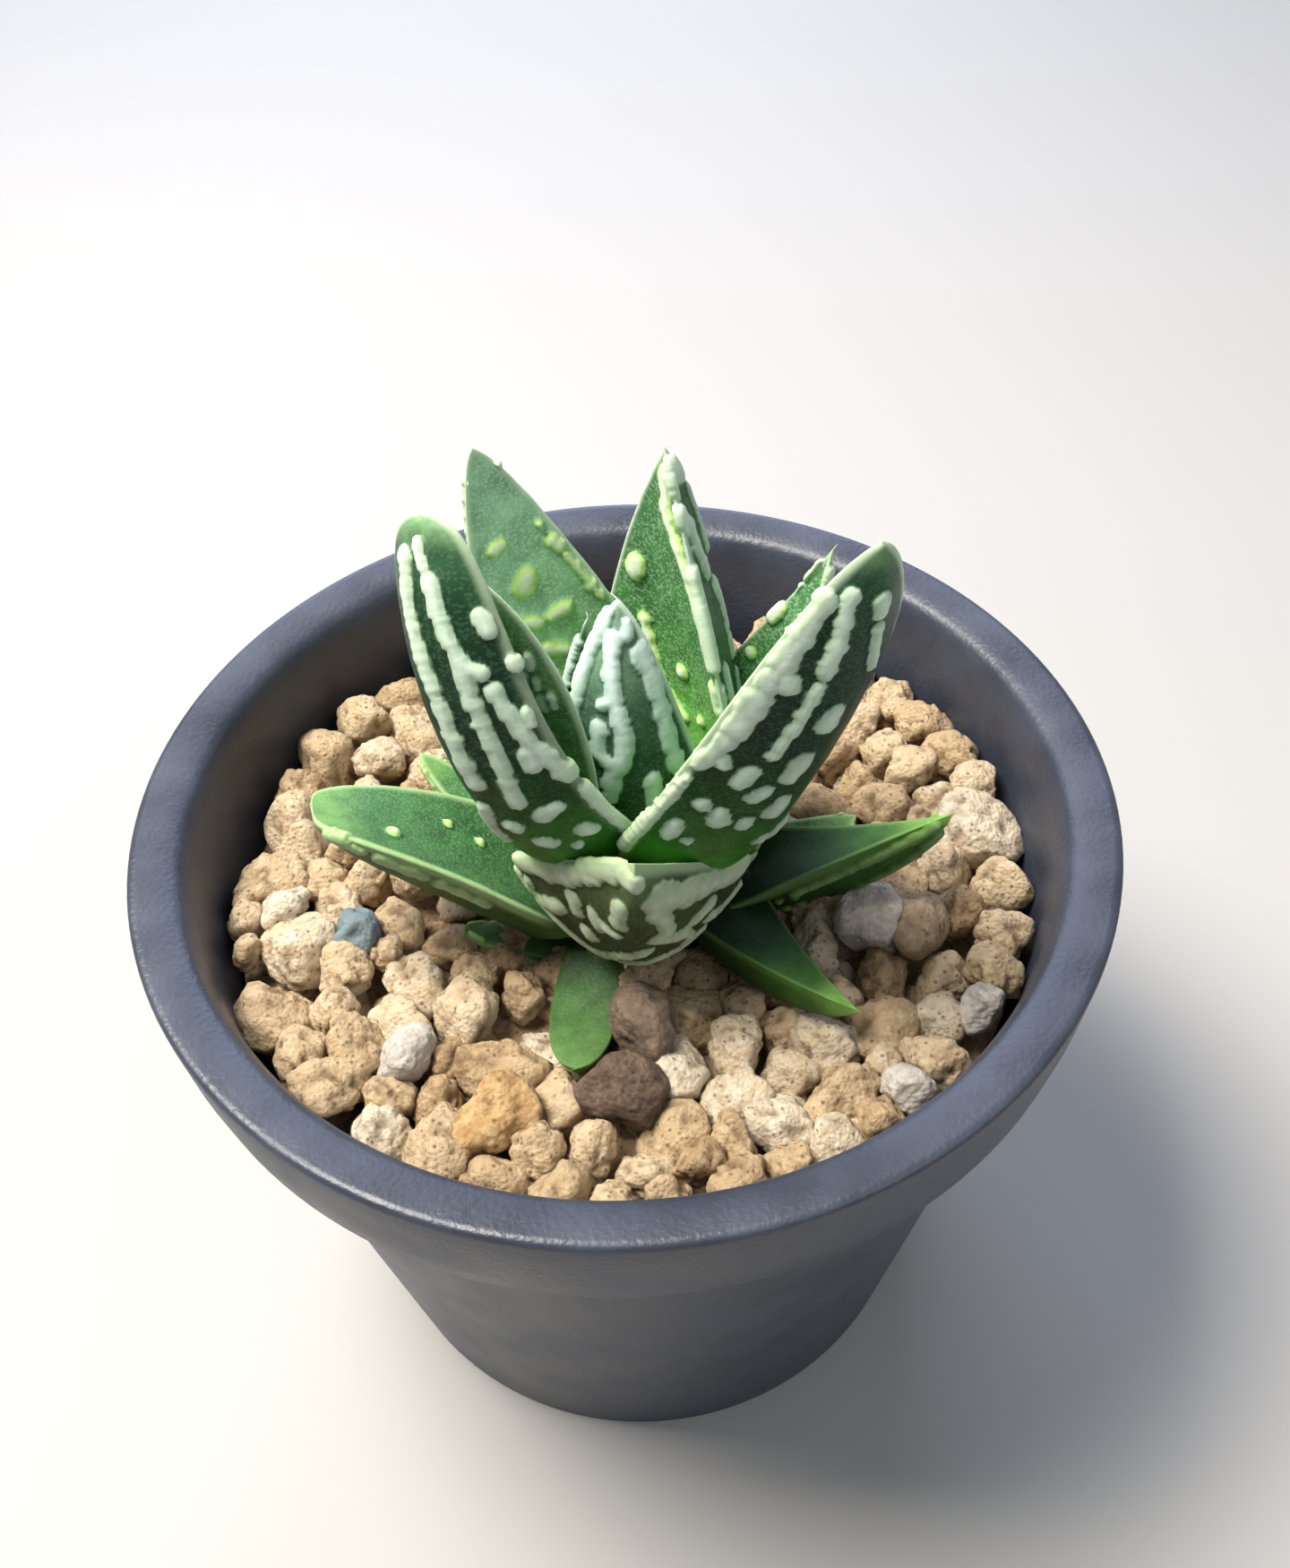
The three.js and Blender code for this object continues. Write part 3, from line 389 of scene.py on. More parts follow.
# skin: its look; rim: width in mm and strength of the pale margin; grid: rings and sides
plainLeaf = dict(swing=0, roll=(0, 0), taper=(2, 0.8), foot=fullRoot, skin="low",
                 rim=(0.7, 0.6), grid=(100, 90))
leaves = {
    "leaf_front": dict(
        azimuth=269.5, tip=(18.8, 0, 28.8), root=(2.5, 0, 12), bow=0.3, swing=0.5, width=32.5,
        taper=(1.25, 1.05), groove=(0.42, 0.3), belly=5.7, roll=(-2, -5), skin="gapShaded",
        rim=(0.7, 0.7), grid=(170, 176)),
    "leaf_front_right": dict(
        azimuth=313, tip=(25, 9, 63), root=(1.5, -0.5, 12), bow=3, width=24.5, taper=(2.6, 0.63),
        groove=(0.35, 0.1), belly=3.5, roll=(-4, -21), foot=pinchedRoot, skin="upright",
        rim=(0.8, 0.9), grid=(190, 170)),
    "leaf_front_left": dict(
        azimuth=219, tip=(15, -10, 61), root=(0, -0.5, 14.5), bow=6.5, swing=2.5, width=20,
        taper=(3, 0.31), groove=(0.36, 0.12), belly=4, roll=(10, 6), foot=pinchedRoot,
        skin="upright", rim=(0.8, 0.45), grid=(190, 160)),
    "leaf_heart_sliver": dict(
        azimuth=222.8, tip=(-1.9, -7.4, 40.3), root=(5.3, -4.6, 21.1), bow=-3.1, swing=-2.6,
        width=4.7, taper=(1.6, 0.8), groove=(0.3, 0.1), belly=1.4, skin="heart", rim=(0.35, 0.7),
        grid=(110, 60)),
    "leaf_heart": dict(
        azimuth=268, tip=(-4.5, -0.5, 44.5), root=(-2, 1, 1.5), bow=3.5, swing=-0.5, width=22,
        taper=(1.7, 0.75), groove=(0.3, 0.12), belly=3, roll=(1, 1), skin="heart", rim=(0.6, 0.8),
        grid=(150, 130)),
    "leaf_inner_left": dict(
        azimuth=190, tip=(13.5, -0.4, 52.7), root=(2.5, -4.5, 9.5), bow=-2, width=21.2,
        taper=(2.3, 0.7), groove=(0.4, 0.1), belly=2.5, roll=(-20, 30), skin="bright",
        rim=(0.6, 0.7), grid=(150, 120)),
    "leaf_back": dict(
        azimuth=62, tip=(15.5, 2, 56), root=(5.5, -1.5, 6.5), bow=2, swing=1.5, width=25.5,
        taper=(2.3, 1), groove=(0.5, 0.13), belly=5, roll=(-18, -36), skin="deep", rim=(0.6, 0.8),
        grid=(170, 150)),
    "leaf_back_right": dict(
        azimuth=30.5, tip=(26, -2, 44), root=(3.5, 3, 8), bow=2.5, width=20, taper=(1.45, 1.08),
        groove=(0.4, 0.15), belly=3, roll=(3, -2), skin="deep", rim=(0.4, 0.5), grid=(140, 110)),
    "leaf_back_left": dict(
        azimuth=123, tip=(24.5, 2, 54), root=(3, -5.5, 7), bow=2.5, width=25.5, taper=(1.35, 0.7),
        groove=(0.4, 0.15), belly=3, roll=(-1, -3), skin="bright", rim=(0.8, 0.8), grid=(170, 150)),
    "leaf_rear": dict(
        azimuth=86, tip=(27, 0, 22), root=(6, 0, 3), bow=2.5, width=19, groove=(0.4, 0.15),
        belly=3),
    "leaf_rear_right": dict(
        azimuth=43, tip=(27, 0, 17), root=(6, 0, 3), bow=2.5, width=18, groove=(0.4, 0.15),
        belly=3),
    "leaf_low_left": dict(
        azimuth=176, tip=(36.5, 2.5, 20), root=(8, -0.5, 2), bow=-2, swing=-0.5, width=17.5,
        taper=(3.5, 0.22), groove=(0.34, 0.13), belly=5.5, roll=(5, 26), rim=(1.1, 0.75),
        grid=(130, 110)),
    "leaf_low_right": dict(
        azimuth=2.5, tip=(37.5, -2.5, 13.5), root=(5.5, 1, 3), bow=1.5, swing=0.5, width=16.5,
        taper=(1, 0.92), groove=(0.27, 0.14), belly=6.5, roll=(7, -30), skin="dark",
        rim=(0.8, 0.5), grid=(130, 100)),
    "leaf_low_front_right": dict(
        azimuth=322, tip=(32.5, -2.5, 5), root=(6, 4.5, 5), bow=0.5, swing=-1, width=13.5,
        taper=(1.1, 0.94), groove=(0.32, 0.14), belly=6, roll=(-5, -22), skin="dark",
        rim=(0.5, 0.3), grid=(130, 90)),
    "leaf_low_front": dict(
        azimuth=246, tip=(24.3, 2, -1.5), root=(8.4, -2.2, -1), bow=-2, swing=-0.5, width=8.6,
        taper=(4, 0.55), groove=(0.2, 0.1), belly=2.5, roll=(7, 9), skin="plain", rim=(0.5, 0.2),
        grid=(100, 80)),
    "leaf_under_right": dict(
        azimuth=18, tip=(30, 0, 3), root=(6, 0, 0), bow=2, width=15, groove=(0.35, 0.12), belly=3),
    "leaf_under_left": dict(
        azimuth=185, tip=(21.5, 0, -1), root=(7, 0, -6), bow=1, width=7, groove=(0.2, 0.1),
        belly=2, skin="plain", rim=(0.5, 0.2), grid=(80, 64)),
    "leaf_under_back_left": dict(
        azimuth=139, tip=(36.5, 0, 4), root=(6, 0, 0), bow=2, width=8, taper=(2.2, 0.6),
        groove=(0.3, 0.12), belly=2.5),
}
leaves = {name: {**plainLeaf, **leaf} for name, leaf in leaves.items()}

# Warts and ridges. out: the keeled face, in: the hollow face; each is a radius in mm and its
# points, along the leaf from 0 to 1 and across it from -1 to 1; one point is a wart.
marks = {
    "leaf_front": {"out": [
        [1.5, (0.21, -1), (0.52, -0.89), (0.88, -0.89)], [2.05, (0.76, 0.52), (0.58, 0.76)],
        [1.5, (0.9, -0.75), (0.93, -0.2)], [1.75, (0.58, 0.77), (0.33, 0.95)],
        [1.35, (0.04, -0.75), (0.29, -0.7)], [1.1, (0.45, -0.72), (0.4, -0.63)],
        [0.95, (0.51, -0.56), (0.46, -0.44)], [1.1, (0.75, -0.38), (0.61, -0.29)],
        [0.65, (0.5, -0.41), (0.5, -0.26)], [0.95, (0.02, -0.57), (0.02, -0.45)],
        [0.9, (0.33, -0.49), (0.3, -0.42)], [0.7, (0.04, -0.94), (0.02, -0.85)],
        [0.7, (0.14, -0.88), (0.02, -0.82)], [0.65, (0.02, -0.78), (0.02, -0.63)],
        [0.7, (0.02, -0.66), (0.02, -0.41)], [0.85, (0.02, -0.29), (0.27, -0.16), (0.39, 0.08)],
        [0.85, (0.02, -0.08), (0.15, 0.03), (0.17, 0.15)], [0.7, (0.02, -0.35), (0.02, -0.21)],
        [1.05, (0.73, 0.31), (0.6, 0.38), (0.5, 0.35)], [1, (0.49, 0.22), (0.35, 0.4)],
        [1, (0.38, 0.55), (0.37, 0.69)], [0.85, (0.26, 0.61), (0.15, 0.68)],
        [0.9, (0.15, 0.73), (0.16, 0.81)], [0.7, (0.15, 0.78), (0.16, 0.84)],
        [0.75, (0.14, 0.65), (0.15, 0.69)], [0.75, (0.19, 0.17), (0.12, 0.29), (0.14, 0.55)],
        [0.65, (0.38, 0.45), (0.13, 0.42)]]},
    "leaf_front_right": {"out": [
        [0.95, (0.9, -0.87), (0.84, -0.85)], [1.25, (0.83, -0.85), (0.73, -0.86)],
        [1.4, (0.75, -0.76), (0.74, -0.71)], [1.45, (0.7, -0.86), (0.62, -0.86)],
        [1.05, (0.59, -0.88), (0.52, -0.94)], [0.95, (0.55, -0.83), (0.54, -0.8)],
        [0.7, (0.48, -0.95), (0.23, -0.99)], [0.85, (0.92, -0.57), (0.84, -0.41)],
        [1, (0.83, -0.42), (0.78, -0.4)], [0.8, (0.75, -0.4), (0.7, -0.41)],
        [0.75, (0.7, -0.41), (0.59, -0.48)], [0.95, (0.91, 0.15), (0.89, 0.16)],
        [0.75, (0.86, 0.19), (0.78, 0.3)], [1.2, (0.7, -0.06), (0.67, -0.1)],
        [1.15, (0.51, -0.61), (0.54, -0.57)], [1.2, (0.58, -0.16), (0.54, -0.2)],
        [1.05, (0.43, -0.76)], [1.3, (0.42, -0.6), (0.4, -0.57)],
        [0.95, (0.48, -0.43), (0.5, -0.37)], [1.25, (0.44, -0.15), (0.47, -0.12)],
        [1.05, (0.4, -0.35), (0.41, -0.35)], [1, (0.36, -0.83), (0.32, -0.82)],
        [0.65, (0.32, -0.68)], [1.4, (0.34, 0.17), (0.36, 0.2)], [1.1, (0.34, -0.03)]]},
    "leaf_front_left": {"out": [
        [1.15, (0.94, -0.25), (0.69, 0.12), (0.52, 0.16)],
        [1.1, (0.45, 0.07), (0.38, -0.07), (0.34, -0.01)], [0.6, (0.97, 0.07), (0.93, 0.22)],
        [0.95, (0.91, 0.29), (0.77, 0.5)], [0.85, (0.77, 0.53), (0.75, 0.68)],
        [0.95, (0.77, 0.5), (0.59, 0.54), (0.46, 0.49)], [0.95, (0.85, 0.85), (0.82, 0.87)],
        [0.95, (0.71, 0.74), (0.59, 0.85)], [1.25, (0.57, 0.8), (0.54, 0.78)],
        [1.1, (0.58, 0.87), (0.49, 0.96)], [0.75, (0.44, 0.99), (0.26, 1)],
        [1.1, (0.41, 0.62), (0.42, 0.75)], [1.05, (0.4, 0.26), (0.39, 0.3)],
        [0.85, (0.34, 0.41), (0.32, 0.49)], [1.1, (0.33, 0.8), (0.32, 0.83)],
        [0.6, (0.29, 0.66)], [0.8, (0.76, 0.97), (0.75, 0.97)],
        [0.65, (0.66, 0.92), (0.63, 0.92)], [0.5, (0.54, 0.2), (0.52, 0.2)]]},
    "leaf_heart": {"out": [
        [0.85, (0.97, -0.76), (0.89, -0.9), (0.8, -0.92), (0.64, -0.86), (0.58, -0.76)],
        [1, (0.92, -0.25), (0.83, -0.25), (0.68, 0.02), (0.63, -0.02), (0.58, -0.21),
         (0.52, -0.24)],
        [0.95, (0.7, -0.43), (0.64, -0.44), (0.61, -0.26)], [0.75, (0.76, -0.41), (0.77, -0.25)],
        [0.75, (0.95, 0.44), (0.92, 0.36)], [1.2, (0.88, 0.65), (0.8, 0.72), (0.56, 0.71)],
        [1.15, (0.55, 0.35), (0.49, 0.35)]]},
    "leaf_heart_sliver": {"out": [
        [0.75, (0.85, -0.35), (0.4, -0.3)]]},
    "leaf_inner_left": {"out": [
        [0.8, (0.56, 0.3)], [0.8, (0.5, 0.5)], [0.8, (0.47, 0.22)], [0.75, (0.42, 0.42)],
        [0.75, (0.67, 0.3)], [0.7, (0.86, 0.3)], [0.95, (0.79, 0.24), (0.78, 0.21)],
        [0.65, (0.83, 0.72), (0.8, 0.64)], [0.7, (0.78, 0.43), (0.75, 0.45)],
        [0.6, (0.76, 0.65), (0.74, 0.63)], [0.75, (0.72, 0.45), (0.68, 0.43)],
        [0.8, (0.71, 0.63), (0.68, 0.62)], [0.55, (0.72, 0.79), (0.69, 0.78)],
        [0.8, (0.63, 0.21), (0.6, 0.44)], [0.75, (0.61, 0.55), (0.58, 0.59)]]},
    "leaf_back": {"out": [
        [1.2, (0.97, -0.71), (0.94, -0.37)], [1, (0.89, -0.02), (0.75, -0.21)],
        [1, (0.88, -0.99), (0.84, -0.8), (0.72, -0.65)],
        [1.05, (0.68, -0.5), (0.61, -0.31), (0.55, -0.36)], [1.05, (0.52, -0.37), (0.48, -0.42)],
        [1, (0.5, -0.84), (0.44, -0.84)], [0.95, (0.43, -0.44), (0.37, -0.46)]],
        "in": [
        [1.3, (0.68, 0.67), (0.65, 0.7)], [1.45, (0.94, -0.45), (0.86, -0.22), (0.74, -0.8)],
        [1.3, (0.71, -0.84), (0.62, -0.98), (0.54, -0.95)], [1.35, (0.43, -0.08)],
        [0.95, (0.48, -0.88), (0.42, -0.89)], [0.85, (0.53, 0.49), (0.38, 0.26)],
        [0.75, (0.36, 0.21), (0.3, -0.03)], [1, (0.32, -0.32)]]},
    "leaf_back_right": {"in": [
        [0.85, (0.77, 0.9), (0.73, 0.92)], [0.9, (0.6, 0.7)]]},
    "leaf_back_left": {"in": [
        [0.85, (0.78, 0.46), (0.78, 0.22)], [1.5, (0.67, 0.07), (0.68, -0.03)],
        [0.9, (0.6, 0.4), (0.57, 0.06)], [0.95, (0.57, -0.13), (0.57, -0.4)],
        [0.9, (0.51, 0.13), (0.48, -0.1)], [0.45, (0.78, -0.74)],
        [0.95, (0.73, -0.76), (0.71, -0.8)], [0.55, (0.69, -0.82), (0.55, -0.89)],
        [0.85, (0.59, -0.86)]]},
    "leaf_low_front_right": {"out": []},
    "leaf_low_front": {"out": []},
    "leaf_low_left": {"out": [
        [1, (0.95, 0.9), (0.85, 0.88)], [1.1, (0.78, 0.86), (0.62, 0.84)],
        [1, (0.55, 0.84), (0.36, 0.84)]],
        "in": [
        [1.05, (0.73, 0.26)], [0.75, (0.51, -0.38)], [0.6, (0.38, -0.24)]]},
}

# ramps of a look run from root to tip, those of marks from their foot to their top; flecks: how
# strongly the pale stipple shows on the keeled face and on the hollow one
limeFoot = [(0, "#8fc552"), (0.25, "#b9dc92"), (0.6, "#dcebd0")]
oliveFoot = [(0, "#7fb650"), (0.4, "#b0d080"), (1, "#d6e6c0")]
leafLooks = {
    "upright": {
        "roughness": 0.45, "shine": 0.3, "flecks": (0.08, 0.5), "fleck": "#9cc29c",
        "rim": "#bccfae",
        # the keeled face: its near-black middle is the leaf's own dark green deepened with painted
        # shade, and the paler grey-green at the tip is painted sheen
        "keeled": [(0, "#7ab637"), (0.2, "#3f8a26"), (0.42, "#1b4a1b"), (0.6, "#0f2c17"),
            (0.85, "#16351f"), (0.95, "#2d5236"), (1, "#6f9463")],
        "hollow": [(0, "#9ad23f"), (0.25, "#5f9c34"), (0.5, "#3c6a35"), (0.93, "#48764a"),
            (1, "#8cb07c")],
        "keeledMark": [(0, "#7c9a72"), (0.2, "#abc3a6"), (1, "#cfe0cc")],
        "hollowMark": limeFoot},
    "heart": {
        "roughness": 0.48, "shine": 0.3, "flecks": (0.15, 0.5), "fleck": "#9cc29c",
        "rim": "#d3e3d6",
        "keeled": [(0, "#7ab637"), (0.3, "#2c5226"), (0.5, "#223f2c"), (0.7, "#3d5a49"),
            (1, "#7b9a80")],
        "hollow": [(0, "#9ad23f"), (0.4, "#4a7a44"), (1, "#8cb07c")],
        "keeledMark": [(0, "#86a08c"), (0.2, "#b2c8be"), (1, "#d3e3de")],
        "hollowMark": limeFoot},
    "bright": {
        "roughness": 0.5, "shine": 0.35, "flecks": (0.2, 0.6), "fleck": "#d3e8d6", "rim": "#c6dabb",
        "keeled": [(0, "#7fb63c"), (0.3, "#3f6f3a"), (1, "#6a9a5c")],
        "hollow": [(0, "#9ad23f"), (0.35, "#98cc7c"), (0.6, "#97c597"), (0.93, "#96c29a"),
            (1, "#a9cea0")],
        "keeledMark": [(0, "#7c9a72"), (0.2, "#a5bda0"), (1, "#c6d8c4")],
        "hollowMark": [(0, "#9ad050"), (0.35, "#c0e08b"), (0.9, "#e4efd2")]},
    "deep": {
        "roughness": 0.48, "shine": 0.35, "flecks": (0.12, 0.6), "fleck": "#a9cbaa",
        "rim": "#cadcc4",
        "keeled": [(0, "#7ab637"), (0.3, "#2f5a2a"), (0.9, "#375f3a"), (1, "#86b06a")],
        "hollow": [(0, "#9ad23f"), (0.28, "#5f9f3c"), (0.5, "#467c40"), (0.93, "#4b7d4e"),
            (1, "#8cb07c")],
        "keeledMark": [(0, "#7c9a72"), (0.2, "#a9c2a6"), (1, "#cbddca")],
        "hollowMark": [(0, "#9ad050"), (0.3, "#c6e399"), (0.7, "#e4efd6")]},
    "gapShaded": {
        "roughness": 0.5, "shine": 0.28, "flecks": (0.12, 0.3), "fleck": "#9aab86",
        "rim": "#b4caa0",
        # painted shade: the front leaf's body, seen only in the gaps between its dense marks, is
        # its olive green darkened to brown-olive, most at the root
        "keeled": [(0, "#2c3520"), (0.4, "#333f24"), (0.75, "#435632"), (0.9, "#557347"),
            (1, "#7a9a68")],
        "hollow": [(0, "#5f8a34"), (1, "#7fb05a")],
        "keeledMark": [(0, "#7d8f66"), (0.15, "#a3b590"), (1, "#c3d2b6")],
        "hollowMark": [(0, "#8cc65a"), (0.4, "#bfe08f"), (1, "#e4f0cf")]},
    "low": {
        "roughness": 0.5, "shine": 0.25, "flecks": (0.12, 0.28), "fleck": "#86ae86",
        "rim": "#a3c187",
        "keeled": [(0, "#3f6a2c"), (0.3, "#365627"), (0.9, "#456832"), (1, "#86ae60")],
        "hollow": [(0, "#284a20"), (0.35, "#315b2b"), (0.8, "#3b6735"), (1, "#6c954f")],
        "keeledMark": [(0, "#6f8d58"), (0.4, "#95ae7c"), (1, "#b3c79c")],
        "hollowMark": [(0, "#8cc65a"), (0.4, "#b4d68c"), (1, "#d3e4bd")]},
    "dark": {
        "roughness": 0.55, "shine": 0.18, "flecks": (0.03, 0.06), "fleck": "#5f8c60",
        "rim": "#6f9450",
        # painted shade: these low leaves are near black towards the root, where the rosette above
        # shades them, and lighter green towards the lit tip
        "keeled": [(0, "#16280f"), (0.3, "#1c3513"), (0.85, "#3c6428"), (1, "#7fa550")],
        "hollow": [(0, "#0b170b"), (0.4, "#162d10"), (0.75, "#325a1f"), (1, "#7ba44c")],
        "keeledMark": [(0, "#3f5c2c"), (0.4, "#66824c"), (1, "#869c6a")],
        "hollowMark": oliveFoot},
    "plain": {
        "roughness": 0.55, "shine": 0.22, "flecks": (0.1, 0.1), "fleck": "#84a878",
        "rim": "#6f9452",
        "keeled": [(0, "#2f5222"), (0.6, "#3c6430"), (1, "#54803e")],
        # painted shade: the hollow face is darker towards the root, where the leaves above shade it
        "hollow": [(0, "#1c3512"), (0.45, "#3a5c2d"), (1, "#52713d")],
        "keeledMark": [(0, "#5d8746"), (0.4, "#83a56a"), (1, "#9fb48a")],
        "hollowMark": oliveFoot},
}
leafSkins = {key: leafMaterial("waxyLeaf" + key.title(), look)
             for key, look in leafLooks.items()}

# every leaf: keelRound, e at the root and its growth to the tip; markWiden, factor on the marks'
# radii; in mm: edge, thickness at the widest place; markRise and rimRise, heights of the marks
# and of the pale margin; spike, length of the point at the tip
everyLeaf = {"keelRound": (0.14, 0.6), "edge": 1.1, "markWiden": 1.06, "markRise": 0.62,
             "rimRise": 0.12, "spike": 1.2}


# half width: full width times (1 - t^a)^b, narrower towards the root by the smooth step
def halfWidth(leaf, t):
    a, b = leaf["taper"]
    share, length = leaf["foot"]
    foot = share + (1 - share) * smooth(0, length, t)
    return leaf["width"] / 2 * np.maximum(0, 1 - t ** a) ** b * foot


# Point at t along the leaf and at an angle around its section. The midline is a quadratic
# Bezier curve; across it x = half * cos(angle); the section's height is the edge's thickness
# times sin(angle), less a parabolic hollow, less a keeled belly on the outer side, whose keel
# is rounded, more so towards the tip: |x| becomes (sqrt(x^2 + e^2) - e) / (sqrt(1 + e^2) - e).
def leafPoint(leaf, t, angle):
    a = np.radians(leaf["azimuth"])
    out = np.array([np.cos(a), np.sin(a), 0])
    across = np.array([-np.sin(a), np.cos(a), 0])
    up = np.array([0, 0, 1.0])
    basis = np.array([out, across, up])
    root = crown + np.array(leaf["root"]) @ basis
    tip = crown + np.array(leaf["tip"]) @ basis
    down = unit(np.cross(tip - root, across))
    down = down if down @ out > 0 else -down
    bend = (root + tip) / 2 + 2 * leaf["bow"] * down + 2 * leaf["swing"] * across
    t = np.asarray(t, float)[..., None]
    middle = (1 - t) ** 2 * root + 2 * t * (1 - t) * bend + t * t * tip
    tangent = unit((1 - t) * (bend - root) + t * (tip - bend))
    wide = unit(across - (tangent @ across)[..., None] * tangent)
    face = np.cross(tangent, wide)
    face = face * np.where((face @ (up - out))[..., None] < 0, -1, 1)
    turned = np.radians(between(leaf["roll"], t))
    x = wide * np.cos(turned) + face * np.sin(turned)
    y = face * np.cos(turned) - wide * np.sin(turned)
    t = t[..., 0]
    half = halfWidth(leaf, t)
    xi, s = np.cos(angle), np.sin(angle)
    hollow = between(leaf["groove"], t) * half * (1 - xi ** 2)
    edge = everyLeaf["edge"] * (2 * half / leaf["width"]) ** 0.8
    keel = 0.2 + 0.4 * t
    atRoot, growth = everyLeaf["keelRound"]
    e = atRoot + growth * t ** 3
    blunt = (np.sqrt(xi ** 2 + e ** 2) - e) / (np.sqrt(1 + e ** 2) - e)
    belly = leaf["belly"] * np.maximum(0, 1 - t ** 2.5) ** 0.7 * (
        (1 - keel) * (1 - xi ** 2) + keel * (1 - blunt) ** 1.1)
    depth = np.where(s < 0, belly * np.maximum(-s, 0) ** 0.3, 0)
    return middle + x * (xi * half)[..., None] + y * (edge * s - hollow - depth)[..., None]


# the pattern of a keeled face that has no strokes of its own: three ridges and rows of warts
def usualMarks(seed):
    draw = np.random.default_rng(seed)
    strokes = [[0.8, (0.94, -0.75), (0.7, -0.78), (0.4, -0.8)],
               [0.8, (0.94, 0.75), (0.7, 0.8), (0.4, 0.8)],
               [0.9, (0.93, 0.05), (0.7, 0.0), (0.5, 0.08)]]
    for row in range(5):
        for side in range(5):
            across = -0.8 + 0.4 * side + draw.uniform(-0.1, 0.1)
            radius = draw.uniform(0.55, 0.85)
            along = 0.12 + 0.07 * row + draw.uniform(-0.02, 0.02)
            strokes.append([radius, (along, across)])
    return strokes


# 1 on a stroke's line falling to 0 at its radius; the radius swells and narrows along it
def strokeLevel(leaf, points, stroke, side, seed):
    radius, route = everyLeaf["markWiden"] * stroke[0], np.array(stroke[1:], float)
    steps = np.linspace(0, len(route) - 1, 1 + 14 * (len(route) - 1))
    t = np.interp(steps, np.arange(len(route)), route[:, 0])
    across = np.interp(steps, np.arange(len(route)), route[:, 1])
    line = leafPoint(leaf, t, side * np.arccos(across))
    run = np.concatenate([[0], np.cumsum(np.linalg.norm(np.diff(line, axis=0), axis=1))])
    slow, fast = np.sin(2 * np.pi * run / (2.6 * radius) + seed), np.sin(5.1 * run + seed)
    swell = 1 + 0.13 * slow + 0.07 * fast
    gap = np.linalg.norm(points[:, None, :] - line[None], axis=2) / (radius * swell[None])
    return 1 - gap.min(axis=1)


# points of every leaf, for the granules to stay clear of
allLeafPoints = {}


# Leaf skin: rings crowd towards the tip, and points of the keeled half towards the margins;
# each point moves along the normal by the marks' height, a low unevenness and the rim.
def buildLeaf(index, name, leaf):
    (rimWidth, rimStrength), (rings, sides) = leaf["rim"], leaf["grid"]
    own = marks.get(name, {})
    strokes = [(stroke, -1) for stroke in own.get("out", usualMarks(index))]
    strokes += [(stroke, 1) for stroke in own.get("in", [])]
    along = 1 - (1 - np.linspace(0, 1, rings)) ** 1.4
    along[-1] = 0.9995
    share = np.linspace(0, 1, sides // 2 + 1)[:-1]
    eased = 0.25 * share + 0.75 * share ** 3 * (10 - 15 * share + 6 * share ** 2)
    angle = np.concatenate([np.pi * share, np.pi + np.pi * eased])
    t, a = np.meshgrid(along, angle, indexing="ij")
    body = leafPoint(leaf, t, a)
    alongStep = np.gradient(body, axis=0)
    aroundStep = (np.roll(body, -1, axis=1) - np.roll(body, 1, axis=1)) / 2
    normal = unit(np.cross(aroundStep, alongStep))
    heart = body.mean(axis=1, keepdims=True)
    if np.einsum("ijk,ijk->", normal, body - heart) < 0:
        normal = -normal
    flat = body.reshape(-1, 3)
    sine = np.sin(a).ravel()
    level = np.zeros(len(flat))
    wobble = 0.13 * cellNoise(flat / 0.9, index) + 0.07 * cellNoise(flat / 0.4, index + 31)
    for k, (stroke, side) in enumerate(strokes):
        reach = 1 - np.maximum(-side * sine, 0) / 0.5
        value = strokeLevel(leaf, flat, stroke, side, 1.7 * k + index) + wobble
        level = np.maximum(level, np.where(reach > 0, np.minimum(value, reach), 0))
    level = np.clip(level, 0, 1)
    dome = np.sqrt(np.clip(1 - (1 - level) ** 2, 0, 1))
    rise = everyLeaf["markRise"] * dome * smooth(0.0, 0.12, level)
    half = halfWidth(leaf, t).ravel()
    xi = np.abs(np.cos(a)).ravel()
    thick = everyLeaf["edge"] * sine * (2 * half / leaf["width"]) ** 0.8
    toEdge = np.hypot(half * (1 - xi), thick)
    edge = smooth(0, 1, 1.3 - toEdge / rimWidth) * rimStrength * smooth(0.05, 0.2, t.ravel())
    rough = 0.05 * layeredNoise(flat / 2.2, 2, index + 5)
    grown = flat + normal.reshape(-1, 3) * (rise + rough + everyLeaf["rimRise"] * edge)[:, None]
    away = unit(leafPoint(leaf, 1.0, 0.0) - leafPoint(leaf, 0.97, 0.0))
    tipPoint = leafPoint(leaf, 1.0, 0.0) + everyLeaf["spike"] * away
    points = np.concatenate([grown, body[0].mean(axis=0)[None], tipPoint[None]])
    inner = smooth(-0.12, 0.12, np.sin(a)).ravel()
    pad = lambda array, first, last: np.concatenate([array, [first, last]])
    long = np.linalg.norm(np.subtract(leaf["tip"], leaf["root"]))
    span = np.stack([half * np.cos(a).ravel(), long * t.ravel(), 0 * half], axis=1)
    values = {"mark": pad(level, 0, 0), "inner": pad(inner, 0.5, 0.5),
              "along": pad(t.ravel(), 0, 1), "edge": pad(edge, 0, 0.9),
              "span": np.concatenate([span, [[0, 0, 0], [0, long, 0]]])}
    allLeafPoints[name] = flat
    makePiece(name + "_skin", points, tubeFaces(rings, sides), values, leafSkins[leaf["skin"]],
              name)


for index, (name, leaf) in enumerate(leaves.items()):
    buildLeaf(index, name, leaf)
print("leaves built:", len(leaves))

# pot

